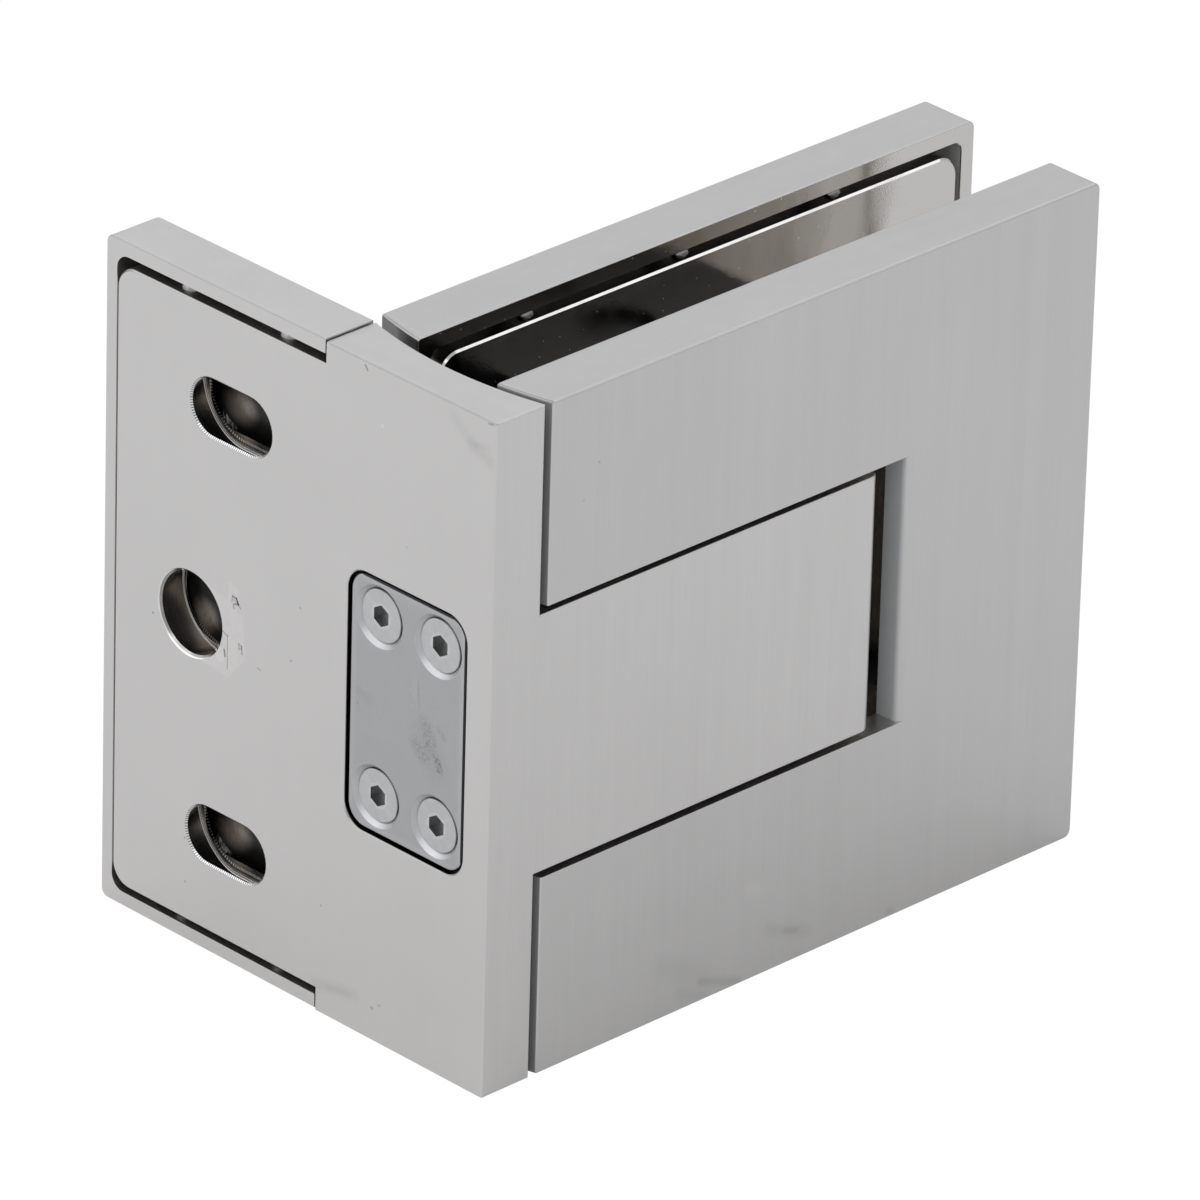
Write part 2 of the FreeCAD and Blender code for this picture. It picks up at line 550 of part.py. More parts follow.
def pivot_pin():
    """Straight pin with a flat for the plunger and two flats for the set screws."""
    half = BOSS_TOP_Z - PIN_END_INSET
    pin = rod(PIN_DIAMETER, V(PIVOT_X, 0, -half), V(PIVOT_X, 0, half))
    ends = [edge for edge in pin.Edges if edge.BoundBox.ZLength < 0.001]
    pin = pin.makeChamfer(PIN_FLAT_DEPTH / 2, ends)
    radius = PIN_DIAMETER / 2
    flat_half = TONGUE_TOP - BUSH_LENGTH
    cam = block(PIVOT_X - radius - PAST, PIVOT_X - radius + PIN_FLAT_DEPTH, -radius, radius,
                -flat_half, flat_half)
    cuts = [cam]
    for side in (-1, 1):
        middle = side * BOSS_MID_Z
        reach = SET_SCREW_DIAMETER / 2 + PAST / 2
        cuts.append(block(PIVOT_X - radius, PIVOT_X + radius, -radius - PAST,
                          -radius + PIN_FLAT_DEPTH / 2, middle - reach, middle + reach))
    return pin.cut(cuts)


def pin_bush(side):
    """Plain bearing at the top or the bottom of the tongue."""
    outer = side * TONGUE_TOP
    inner = side * (TONGUE_TOP - BUSH_LENGTH)
    start = V(PIVOT_X, 0, inner)
    end = V(PIVOT_X, 0, outer)
    return rod(BUSH_DIAMETER, start, end).cut(rod(BUSH_BORE, start, end))


def thrust_washer(side):
    """Washer between the tongue and a boss of the clamp."""
    start = V(PIVOT_X, 0, side * TONGUE_TOP)
    end = start + Z_AXIS * side * WASHER_THICKNESS
    hole = rod(PIN_DIAMETER + 2 * WASHER_BORE_GAP, start, end)
    return rod(WASHER_DIAMETER, start, end).cut(hole)


def window(end_x, half_height, y0, y1):
    """Opening round the tongue, open towards the wall."""
    return block(0, end_x, y0, y1, -half_height, half_height)


def clamp_cover_shape():
    """Tray of one clamp half, at its place on the near side."""
    tray = upright_prism(arc_ended_outline(CLAMP_END_RADIUS, CLAMP_END_X, -HALF_DEPTH, -RIM_Y),
                         -HALF_HEIGHT, HALF_HEIGHT)
    ends = cross_edges(tray, HALF_HEIGHT)
    tray = tray.makeFillet(COVER_ROUND, [edge for edge in ends if edge.BoundBox.Center.x > PIVOT_X])
    arc_ends = [edge for edge in cross_edges(tray, HALF_HEIGHT) if edge.BoundBox.Center.x < PIVOT_X]
    tray = tray.makeFillet(ARC_END_EDGE, arc_ends)
    tray = tray.makeFillet(COVER_EDGE, face_rim(tray, -HALF_DEPTH))
    tray = tray.makeFillet(RIM_EDGE, face_rim(tray, -RIM_Y))
    inner_radius = CLAMP_END_RADIUS - CLAMP_COVER_WALL
    inner_top = HALF_HEIGHT - CLAMP_COVER_WALL
    outline = arc_ended_outline(inner_radius, CLAMP_END_X - CLAMP_COVER_WALL,
                                -COVER_INNER_Y, -RIM_Y + PAST)
    hollow = upright_prism(outline, -inner_top, inner_top)
    hollow = hollow.makeFillet(COVER_INNER_ROUND, cross_edges(hollow, inner_top))
    half = CUTOUT_HEIGHT / 2
    wall_x = CUTOUT_FACE_X - CUTOUT_ROUND
    tray = tray.cut(hollow)
    inner_rim = [edge for edge in tray.Edges if edge.BoundBox.YLength < 0.001
                 and abs(edge.BoundBox.YMin + RIM_Y) < 0.001
                 and max(abs(edge.BoundBox.ZMin), abs(edge.BoundBox.ZMax)) < inner_top + 0.01]
    tray = tray.makeChamfer(RIM_INNER_EDGE, inner_rim)
    tray = tray.cut(window(wall_x, half, -HALF_DEPTH - PAST, 0))
    return tray.makeFillet(CUTOUT_ROUND, upright_edges(tray, wall_x, -HALF_DEPTH))


def clamp_plate_blank():
    """Inner plate of one clamp half, at its place on the near side."""
    half = CLAMP_PLATE_HEIGHT / 2
    radius = CLAMP_END_RADIUS - CLAMP_COVER_WALL - CLAMP_PLATE_END_GAP
    plate = upright_prism(arc_ended_outline(radius, PLATE_END_X, -PLATE_OUTER_Y, -PLATE_GLASS_Y),
                          -half, half)
    plate = plate.makeFillet(CLAMP_PLATE_CORNER, cross_edges(plate, half))
    plate = plate.makeChamfer(CLAMP_PLATE_BEVEL, face_rim(plate, -PLATE_GLASS_Y))
    cuts = [window(PLATE_WINDOW_X, PLATE_WINDOW_TOP, -HALF_DEPTH, HALF_DEPTH)]
    for place, direction, reach in clamp_catch_rows():
        cuts.append(catch_hole(CLAMP_CATCH_DIAMETER, place, direction))
    return plate.cut(cuts)


def clamp_catch_rows():
    """Each catch of the near clamp plate: its place, its direction and its reach."""
    y = -(PLATE_OUTER_Y + PLATE_GLASS_Y) / 2
    half = CLAMP_PLATE_HEIGHT / 2
    reach = HALF_HEIGHT - CLAMP_COVER_WALL - half - CATCH_TIP_GAP
    return [(V(x, y, side * half), Z_AXIS * side, reach)
            for x in CLAMP_CATCH_PLACES for side in (-1, 1)]


def clamp_catches():
    """Six catches that hold one clamp cover."""
    return Part.makeCompound([catch(CLAMP_CATCH_DIAMETER, *row) for row in clamp_catch_rows()])


def clamp_screw_places():
    """The four screws that draw the clamp together, as (x, z)."""
    return [(PIVOT_X + x * CLAMP_SCREW_HALF_PITCH, z * BOSS_MID_Z)
            for x in (-1, 1) for z in (-1, 1)]


def near_plate():
    """Near clamp plate with the two bosses that carry the pin: one casting."""
    bosses = []
    cuts = []
    for side in (-1, 1):
        z0, z1 = sorted((side * PLATE_WINDOW_TOP, side * BOSS_TOP_Z))
        boss = block(PIVOT_X - BOSS_HALF_WIDTH, PIVOT_X + BOSS_HALF_WIDTH,
                     -PLATE_OUTER_Y, PLATE_GLASS_Y - BOSS_SEAT_GAP, z0, z1)
        uprights = [edge for edge in boss.Edges if edge.BoundBox.ZLength > 1
                    and edge.BoundBox.Center.y > 0]
        bosses.append(boss.makeFillet(TONGUE_END_ROUND, uprights))
        cuts.append(rod(PIN_DIAMETER + 2 * SEAT_CLEARANCE, V(PIVOT_X, 0, z0 - PAST),
                        V(PIVOT_X, 0, z1 + PAST)))
        cuts.append(rod(SET_SCREW_DIAMETER + 2 * THREAD_CLEARANCE,
                        V(PIVOT_X, -HALF_DEPTH, side * BOSS_MID_Z), V(PIVOT_X, 0, side * BOSS_MID_Z)))
    for x, z in clamp_screw_places():
        cuts.append(rod(CLAMP_SCREW_DIAMETER + 2 * THREAD_CLEARANCE, V(x, -HALF_DEPTH, z),
                        V(x, HALF_DEPTH, z)))
    return clamp_plate_blank().fuse(bosses).removeSplitter().cut(cuts)


def pin_set_screws():
    """Two socket set screws that lock the pin in its bosses."""
    start_y = -PLATE_OUTER_Y + SET_SCREW_INSET
    end_y = -PIN_DIAMETER / 2 + PIN_FLAT_DEPTH / 2
    screws = []
    for side in (-1, 1):
        start = V(PIVOT_X, start_y, side * BOSS_MID_Z)
        end = V(PIVOT_X, end_y, side * BOSS_MID_Z)
        socket = hex_socket(SET_SCREW_HEX, start, Y_AXIS * (end_y - start_y) / 2)
        screws.append(rod(SET_SCREW_DIAMETER, start, end).cut(socket))
    return Part.makeCompound(screws)


def to_far_side(shape):
    """The far half: the near half mirrored, hanging loose by its slip and slack."""
    far = shape.mirror(ORIGIN, Y_AXIS)
    far.translate(V(FAR_SLIP, FAR_SLACK, 0))
    return far


def far_plate():
    """Far clamp plate, with screw holes wide enough for its slip."""
    wide = 2 * (FAR_SLIP + SLIP_MARGIN)
    head_seat = PLATE_OUTER_Y + FAR_SLACK - CLAMP_SCREW_HEAD_HEIGHT - CLAMP_SCREW_HEAD_DEPTH
    cuts = []
    for x, z in clamp_screw_places():
        cuts.append(rod(CLAMP_SCREW_DIAMETER + wide, V(x, 0, z), V(x, 2 * HALF_DEPTH, z)))
        cuts.append(rod(CLAMP_SCREW_HEAD + wide, V(x, head_seat, z), V(x, 2 * HALF_DEPTH, z)))
    return to_far_side(clamp_plate_blank()).cut(cuts)


def clamp_screws():
    """Four cap screws from the far plate into the bosses, backed off by the slack."""
    seat = PLATE_OUTER_Y + FAR_SLACK - CLAMP_SCREW_HEAD_HEIGHT - CLAMP_SCREW_HEAD_DEPTH
    top = seat + CLAMP_SCREW_HEAD_HEIGHT
    screws = []
    for x, z in clamp_screw_places():
        head = rod(CLAMP_SCREW_HEAD, V(x, seat, z), V(x, top, z))
        shank = rod(CLAMP_SCREW_DIAMETER, V(x, seat - CLAMP_SCREW_LENGTH, z), V(x, seat, z))
        socket = hex_socket(CLAMP_SCREW_HEX, V(x, top, z), -Y_AXIS * CLAMP_SCREW_HEAD_HEIGHT * 0.6)
        screws.append(head.fuse(shank).removeSplitter().cut(socket))
    return Part.makeCompound(screws)


PIECES = {
    "wall_body": wall_body,
    "wall_cover": wall_cover,
    "wall_cover_catches": wall_catches,
    "chamber_plate": chamber_plate,
    "chamber_gasket": chamber_gasket,
    "chamber_screws": chamber_screws,
    "spring_seat": spring_seat,
    "closing_spring": closing_spring,
    "plunger": plunger,
    "upper_bush": lambda: pin_bush(1),
    "lower_bush": lambda: pin_bush(-1),
    "upper_thrust_washer": lambda: thrust_washer(1),
    "lower_thrust_washer": lambda: thrust_washer(-1),
    "pivot_pin": pivot_pin,
    "pin_set_screws": pin_set_screws,
    "near_clamp_plate": near_plate,
    "near_clamp_cover": clamp_cover_shape,
    "near_cover_catches": clamp_catches,
    "far_clamp_plate": far_plate,
    "far_clamp_cover": lambda: to_far_side(clamp_cover_shape()),
    "far_cover_catches": lambda: to_far_side(clamp_catches()),
    "clamp_screws": clamp_screws,
}


def main():
    os.makedirs("parts", exist_ok=True)
    for name, make in PIECES.items():
        shape = make()
        if shape.isNull() or not shape.isValid():
            raise RuntimeError(name + " is not a sound solid")
        shape.translate(TO_ORIGIN)
        shape.exportStep(os.path.join("parts", name + ".step"))
        print(name, len(shape.Solids), round(shape.Volume, 1))


main()
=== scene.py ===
import logging
import math
from dataclasses import dataclass, replace
from enum import Enum
from typing import Union

import bpy
from mathutils import Matrix, Vector


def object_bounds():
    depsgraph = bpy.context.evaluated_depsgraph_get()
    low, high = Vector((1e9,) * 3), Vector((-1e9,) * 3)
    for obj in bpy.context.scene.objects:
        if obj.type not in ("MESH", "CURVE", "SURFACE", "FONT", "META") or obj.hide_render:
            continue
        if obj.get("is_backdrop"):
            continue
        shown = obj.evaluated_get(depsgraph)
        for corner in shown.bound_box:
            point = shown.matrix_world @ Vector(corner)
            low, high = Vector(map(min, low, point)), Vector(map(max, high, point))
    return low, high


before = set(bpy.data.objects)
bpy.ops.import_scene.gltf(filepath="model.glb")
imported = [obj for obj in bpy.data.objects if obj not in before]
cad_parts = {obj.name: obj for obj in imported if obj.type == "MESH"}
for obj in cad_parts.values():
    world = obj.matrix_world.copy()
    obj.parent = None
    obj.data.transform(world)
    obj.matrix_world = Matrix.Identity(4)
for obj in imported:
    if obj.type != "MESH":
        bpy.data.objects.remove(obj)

Pair = tuple[float, float]
Triple = tuple[float, float, float]
Number = Union["Signal", float]
Colour = Union[bpy.types.NodeSocket, Triple]

MM = 0.001
FULL_TURN = 2.0 * math.pi
BLACK = (0.012, 0.012, 0.013)
WHITE = (1.0, 1.0, 1.0)
SHIFT_DIRECTION = (1.0, 1.7, -0.6)
LOG = logging.getLogger("hinge")
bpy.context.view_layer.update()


class Axis(Enum):
    """A direction of the hinge: out of the wall, along it, or up."""

    OUT = 0
    ALONG = 1
    UP = 2


class Signal:
    """A number that varies over a surface, with the arithmetic of a shader.

    Args:
        graph: the tree of nodes that the number belongs to.
        socket: the output that carries it.
    """

    def __init__(self, graph: "Graph", socket: bpy.types.NodeSocket) -> None:
        """Keep the tree and the output socket."""
        self.graph = graph
        self.socket = socket

    def _with(self, operation: str, first: Number, second: Number = 0.0) -> "Signal":
        """One Math node on two values.

        Args:
            operation: the Math node's operation.
            first: a Signal or a number.
            second: a Signal or a number.

        Returns:
            The result as a Signal.
        """
        node = self.graph.node("ShaderNodeMath", {"operation": operation}, {0: first, 1: second})
        return Signal(self.graph, node.outputs[0])

    def __add__(self, other: Number) -> "Signal":
        """Sum."""
        return self._with("ADD", self, other)

    def __radd__(self, other: Number) -> "Signal":
        """Sum, with this Signal on the right."""
        return self._with("ADD", other, self)

    def __sub__(self, other: Number) -> "Signal":
        """Difference."""
        return self._with("SUBTRACT", self, other)

    def __rsub__(self, other: Number) -> "Signal":
        """Difference, with this Signal on the right."""
        return self._with("SUBTRACT", other, self)

    def __mul__(self, other: Number) -> "Signal":
        """Product."""
        return self._with("MULTIPLY", self, other)

    def __rmul__(self, other: Number) -> "Signal":
        """Product, with this Signal on the right."""
        return self._with("MULTIPLY", other, self)

    def __abs__(self) -> "Signal":
        """Size without sign."""
        return self._with("ABSOLUTE", self)

    def sine(self) -> "Signal":
        """Sine of an angle in radians."""
        return self._with("SINE", self)

    def root(self) -> "Signal":
        """Square root."""
        return self._with("SQRT", self)

    def reach(self, other: "Signal") -> "Signal":
        """Distance of a point that lies this far one way and that far the other."""
        return (self * self + other * other).root()

    def inside(self, limit: float, soft: float) -> "Signal":
        """1 below a limit and 0 above it, softened by so much on both sides."""
        return self.ramp(limit + soft, limit - soft)

    def within(self, low: float, high: float, soft: float) -> "Signal":
        """1 between two values and 0 beyond them, with soft edges."""
        return self.ramp(low - soft, low) * self.ramp(high + soft, high)

    def sign(self) -> "Signal":
        """1 above zero and -1 below it."""
        return self._with("SIGN", self)

    def angle(self, across: "Signal") -> "Signal":
        """Angle in radians of the point at this height and that distance across."""
        return self._with("ARCTAN2", self, across)

    def least(self, other: Number) -> "Signal":
        """The smaller of two values."""
        return self._with("MINIMUM", self, other)

    def most(self, other: Number) -> "Signal":
        """The larger of two values."""
        return self._with("MAXIMUM", self, other)

    def ramp(self, low: float, high: float) -> "Signal":
        """A smooth step: 0 at low, 1 at high. High may be the smaller of the two.

        Args:
            low: value that gives 0.
            high: value that gives 1.

        Returns:
            The step as a Signal between 0 and 1.
        """
        node = self.graph.node("ShaderNodeMapRange", {"interpolation_type": "SMOOTHSTEP"},
                               {"Value": self, "From Min": min(low, high),
                                "From Max": max(low, high)})
        step = Signal(self.graph, node.outputs[0])
        return step if low <= high else 1.0 - step


@dataclass
class Look:
    """What a finish says of a surface at each point."""

    colour: bpy.types.NodeSocket
    roughness: Signal
    metallic: Signal
    relief: Signal


class Graph:
    """A tree of shader nodes."""

    def __init__(self, tree: bpy.types.NodeTree) -> None:
        """Empty the tree.

        Args:
            tree: the node tree of a material or a world.
        """
        self.tree = tree
        self.tree.nodes.clear()

    def node(self, kind: str, settings: dict[str, object],
             inputs: dict[object, object]) -> bpy.types.Node:
        """Any node, with its settings made before its sockets are filled.

        Args:
            kind: the node's type name.
            settings: attributes of the node.
            inputs: socket name or number to a value, a socket or a Signal.

        Returns:
            The node.
        """
        node = self.tree.nodes.new(kind)
        for key, value in settings.items():
            setattr(node, key, value)
        for key, value in inputs.items():
            if isinstance(value, Signal):
                value = value.socket
            if isinstance(value, bpy.types.NodeSocket):
                self.tree.links.new(value, node.inputs[key])
            else:
                node.inputs[key].default_value = value
        return node

    def split(self, vector: bpy.types.NodeSocket) -> tuple[Signal, Signal, Signal]:
        """The three numbers of a vector."""
        node = self.node("ShaderNodeSeparateXYZ", {}, {0: vector})
        return tuple(Signal(self, output) for output in node.outputs)

    def vector(self, operation: str, inputs: dict[object, object]) -> bpy.types.Node:
        """A Vector Math node.

        Args:
            operation: what it does.
            inputs: socket name or number to a value, a socket or a Signal.

        Returns:
            The node.
        """
        return self.node("ShaderNodeVectorMath", {"operation": operation}, inputs)

    def mix(self, amount: Number, first: Colour, second: Colour,
            blend: str = "MIX") -> bpy.types.NodeSocket:
        """A colour, or a vector, between two others.

        Args:
            amount: 0 gives the first colour and 1 the second.
            first: a colour socket or three numbers.
            second: a colour socket or three numbers.
            blend: the Mix node's way of blending.

        Returns:
            The mixed colour.
        """
        ends = [end if isinstance(end, bpy.types.NodeSocket) else (*end, 1.0)
                for end in (first, second)]
        node = self.node("ShaderNodeMix", {"data_type": "RGBA", "blend_type": blend},
                         {0: amount, 6: ends[0], 7: ends[1]})
        return node.outputs[2]

    def shade(self, colour: Colour, factor: Signal) -> bpy.types.NodeSocket:
        """A colour made lighter or darker.

        Args:
            colour: a colour socket or three numbers.
            factor: 1 leaves the colour as it is.

        Returns:
            The colour times the factor.
        """
        grey = self.node("ShaderNodeCombineXYZ", {}, {0: factor, 1: factor, 2: factor})
        return self.mix(1.0, colour, grey.outputs[0], "MULTIPLY")


@dataclass(frozen=True)
class Mark:
    """A mark on a flat face, from one place to another in millimetres of that face."""

    start: Pair
    end: Pair
    width: float
    tone: float
    softness: float = 0.3


def dot(u: float, v: float, width: float = 0.3, tone: float = -0.35) -> Mark:
    """A round mark at one place."""
    return Mark((u, v), (u, v), width, tone)


@dataclass(frozen=True)
class Ring:
    """A bright ring, used for cut marks and for painted highlights and reflections: from one
    distance to another, and how bright it is.
    """

    inner: float
    outer: float
    softness: float
    tone: float

    def at(self, distance: Signal) -> Signal:
        """The ring's brightness at a distance from its middle."""
        return distance.within(self.inner, self.outer, self.softness) * self.tone


class Shop(Graph):
    """The node tree of one material, measured in millimetres of the hinge's frame."""

    def __init__(self, name: str) -> None:
        """Start an empty material with the place and the direction of each point.

        Args:
            name: the material's name.
        """
        self.material = bpy.data.materials.new(name)
        self.material.use_nodes = True
        super().__init__(self.material.node_tree)
        coordinates = self.node("ShaderNodeTexCoord", {}, {})
        scaled = self.vector("SCALE", {0: coordinates.outputs["Object"], "Scale": 1.0 / MM})
        self.place = scaled.outputs[0]
        self.x, self.y, self.z = self.split(self.place)
        self.nx, self.ny, self.nz = self.split(coordinates.outputs["Normal"])

    def value(self, number: float) -> Signal:
        """A constant as a Signal."""
        node = self.node("ShaderNodeMath", {"operation": "ADD"}, {0: number, 1: 0.0})
        return Signal(self, node.outputs[0])

    def noise(self, per_mm: Union[float, Colour], detail: float = 2.0,
              shift: float = 0.0, rough: float = 0.5) -> Signal:
        """Soft noise, with its own count of waves per millimetre on each axis.

        Args:
            per_mm: waves per millimetre, one number or a socket or number for each axis.
            detail: octaves of finer noise.
            shift: moves the pattern, so that two noises differ.
            rough: strength of each finer octave.

        Returns:
            The noise, about 0.5 on average.
        """
        if isinstance(per_mm, float):
            per_mm = (per_mm,) * 3
        moved = tuple(part * shift for part in SHIFT_DIRECTION)
        spot = self.vector("MULTIPLY_ADD", {0: self.place, 1: per_mm, 2: moved})
        texture = self.node("ShaderNodeTexNoise", {},
                            {"Vector": spot.outputs[0], "Scale": 1.0, "Detail": detail,
                             "Roughness": rough})
        return Signal(self, texture.outputs[0])

    def specks(self, per_mm: float, share: float, size: float, shift: float = 0.0) -> Signal:
        """Rare round specks: points of a cell pattern, most of them left out.

        Args:
            per_mm: cells per millimetre.
            share: share of the cells that hold a speck.
            size: radius of a speck, in cells.
            shift: moves the pattern.

        Returns:
            1 on a speck and 0 beside it.
        """
        spot = self.vector("MULTIPLY_ADD", {0: self.place, 1: (per_mm,) * 3, 2: (shift,) * 3})
        cells = self.node("ShaderNodeTexVoronoi", {}, {"Vector": spot.outputs[0], "Scale": 1.0})
        chosen = self.split(cells.outputs["Color"])[0].ramp(1.0 - share, 1.0 - 0.9 * share)
        return Signal(self, cells.outputs["Distance"]).ramp(size, 0.6 * size) * chosen

    def marks(self, u: Signal, v: Signal, marks: tuple[Mark, ...]) -> Signal:
        """What a list of marks adds to a face's brightness.

        Each mark is the distance from the straight line between its ends, with a soft edge.

        Args:
            u: the first measure across the face, in millimetres.
            v: the second.
            marks: the marks.

        Returns:
            The sum of their tones.
        """
        flat = self.node("ShaderNodeCombineXYZ", {}, {0: u, 1: v}).outputs[0]
        total = self.value(0.0)
        for mark in marks:
            start = Vector((*mark.start, 0.0))
            run = Vector((*mark.end, 0.0)) - start
            offset = self.vector("SUBTRACT", {0: flat, 1: start})
            if run.length > 0:
                share = self.vector("DOT_PRODUCT", {0: offset.outputs[0],
                                                    1: run / run.length_squared})
                along = Signal(self, share.outputs["Value"]).most(0.0).least(1.0)
                nearest = self.vector("SCALE", {0: run, "Scale": along})
                offset = self.vector("SUBTRACT", {0: offset.outputs[0], 1: nearest.outputs[0]})
            away = Signal(self, self.vector("LENGTH", {0: offset.outputs[0]}).outputs["Value"])
            half = mark.width / 2
            total = total + away.inside(half, half * mark.softness) * mark.tone
        return total

    def panel(self, u: Signal, v: Signal, corners: tuple[Pair, ...], soft: float) -> Signal:
        """A patch with straight sides: the least distance inside any of its sides, stepped at 0.

        Args:
            u: the first measure across the face, in millimetres.
            v: the second.
            corners: the corners, turning to the left all the way round.
            soft: width of the edge.

        Returns:
            1 inside and 0 outside.
        """
        inside = self.value(100.0)
        for (u0, v0), (u1, v1) in zip(corners, corners[1:] + corners[:1]):
            length = math.hypot(u1 - u0, v1 - v0)
            across = (u1 - u0) / length
            up = (v1 - v0) / length
            inside = inside.least(v * across - u * up + (u0 * up - v0 * across))
        return inside.ramp(-soft / 2, soft / 2)

    def over(self, under: Look, upper: Look, mask: Signal) -> Look:
        """One look laid over another where a mask is 1.

        Args:
            under: the look where the mask is 0.
            upper: the look where the mask is 1.
            mask: a Signal between 0 and 1.

        Returns:
            The look of both together.
        """
        return Look(self.mix(mask, under.colour, upper.colour),
                    under.roughness + (upper.roughness - under.roughness) * mask,
                    under.metallic + (upper.metallic - under.metallic) * mask,
                    under.relief + (upper.relief - under.relief) * mask)

    def finish(self, look: Look) -> bpy.types.Material:
        """Put a look on the surface.

        Args:
            look: colour, roughness, metallic share and relief in millimetres.

        Returns:
            The finished material.
        """
        bump = self.node("ShaderNodeBump", {},
                         {"Height": look.relief, "Distance": MM, "Strength": 1.0})
        surface = self.node("ShaderNodeBsdfPrincipled", {},
                            {"Base Color": look.colour, "Roughness": look.roughness,
                             "Metallic": look.metallic, "Normal": bump.outputs[0]})
        self.node("ShaderNodeOutputMaterial", {}, {"Surface": surface.outputs[0]})
        return self.material


@dataclass(frozen=True)
class SatinNickel:
    """Brushed nickel plating: fine lines one way, soft bands, faint clouds."""

    colour: Triple = (0.60, 0.584, 0.568)
    roughness: float = 0.33
    lines_per_mm: float = 4.5
    bands_per_mm: float = 0.35
    clouds_per_mm: float = 0.05
    along_line: float = 0.012
    line_depth: float = 0.0010
    line_contrast: float = 0.09
    soft_contrast: float = 0.05
    line_roughness: float = 0.12
    cloud_roughness: float = 0.08
    wall_face_contrast: float = 0.25
    level_shade: float = 0.05
    edge_shade: float = 0.45
    top_lines: Axis = Axis.OUT

    def rates(self, along: Axis, lines_per_mm: float) -> Triple:
        """Waves per millimetre of a noise that is drawn out along one axis.

        Args:
            along: the axis that the lines follow.
            lines_per_mm: lines across each millimetre.

        Returns:
            The waves along X, Y and Z.
        """
        rates = [lines_per_mm] * 3
        rates[along.value] = lines_per_mm * self.along_line
        return tuple(rates)

    def look(self, shop: Shop) -> Look:
        """Lines along Z on upright faces, and along one level axis on level ones.

        The face that lies on the wall is finer: its lines hardly show. Level faces get a little
        painted shade, and the bevels between a level face and one that looks to the wall get more,
        which dims the lamp's reflection there.

        Args:
            shop: the material.

        Returns:
            The look of the brushed metal.
        """
        level = abs(shop.nz).ramp(0.6, 0.8)
        lines = shop.noise(shop.mix(level, self.rates(Axis.UP, self.lines_per_mm),
                                    self.rates(self.top_lines, self.lines_per_mm)), 3.0, 0.0, 0.6)
        bands = shop.noise(self.rates(Axis.UP, self.bands_per_mm), 1.0, 3.0) - 0.5
        clouds = shop.noise(self.clouds_per_mm, 2.0, 11.0) - 0.5
        # painted shade: bevels that lean up towards the wall, picked by their direction
        edge = (shop.nx * shop.nz).ramp(-0.12, -0.35)
        calm = 1.0 - shop.nx.ramp(-0.8, -0.95) * (1.0 - self.wall_face_contrast)
        tone = ((lines - 0.5) * self.line_contrast + bands * self.soft_contrast) * calm
        tone = tone + clouds * self.soft_contrast + 1.0
        # painted shade on level faces and on those bevels
        tone = tone - level * self.level_shade - edge * self.edge_shade
        roughness = ((lines - 0.5) * calm * self.line_roughness + clouds * self.cloud_roughness
                     + self.roughness)
        return Look(shop.shade(self.colour, tone), roughness, shop.value(1.0),
                    lines * calm * self.line_depth)


@dataclass(frozen=True)
class PolishedNickel:
    """Mirror polish over nickel: an uneven skin like orange peel, hairlines and dust."""

    colour: Triple = (0.62, 0.595, 0.565)
    dust_colour: Triple = (0.8, 0.8, 0.8)
    roughness: float = 0.035
    haze_roughness: float = 0.03
    waves_per_mm: float = 0.7
    peel_per_mm: float = 2.8
    haze_per_mm: float = 0.12
    patch_rates: Triple = (0.25, 0.25, 0.12)
    ripple: float = 0.0012
    peel: float = 0.022

    def look(self, shop: Shop) -> Look:
        """Ripples about a millimetre across, finer peel, and scattered pale dust.

        Args:
            shop: the material.

        Returns:
            The look of the polished metal.
        """
        waves = shop.noise(self.waves_per_mm, 1.0, 2.0)
        fine = shop.noise(self.peel_per_mm, 3.0, 5.0, 0.8)
        patches = shop.noise(self.patch_rates, 1.0, 7.0).ramp(0.35, 0.65)
        dust = shop.specks(1.8, 0.12, 0.13, 4.0)
        haze = shop.noise(self.haze_per_mm, 1.0, 9.0)
        colour = shop.mix(dust * 0.7, self.colour, self.dust_colour)
        roughness = (haze.ramp(0.45, 0.75) * self.haze_roughness + dust * 0.4
                     + self.roughness)
        relief = waves * self.ripple + fine * (patches * 0.7 + 0.3) * self.peel
        return Look(colour, roughness, 1.0 - dust * 0.8, relief)


@dataclass(frozen=True)
class MachinedBore:
    """Bare cut metal inside an opening: dark, with fine marks that run round it."""

    colour: Triple = (0.35, 0.33, 0.31)
    roughness: float = 0.22
    ring_rates: Triple = (6.0, 0.3, 0.3)
    clouds_per_mm: float = 0.5
    contrast: float = 0.5
    ring_roughness: float = 0.15
    ring_depth: float = 0.004

    def look(self, shop: Shop) -> Look:
        """Fine rings at each depth, and soft clouds.

        Args:
            shop: the material.

        Returns:
            The look of the cut metal.
        """
        rings = shop.noise(self.ring_rates, 3.0, 4.0)
        clouds = shop.noise(self.clouds_per_mm, 3.0, 1.0)
        tone = (rings - 0.5) * self.contrast + (clouds - 0.5) * self.contrast + 1.0
        roughness = (rings - 0.5) * self.ring_roughness + self.roughness
        return Look(shop.shade(self.colour, tone), roughness, shop.value(1.0),
                    rings * self.ring_depth)


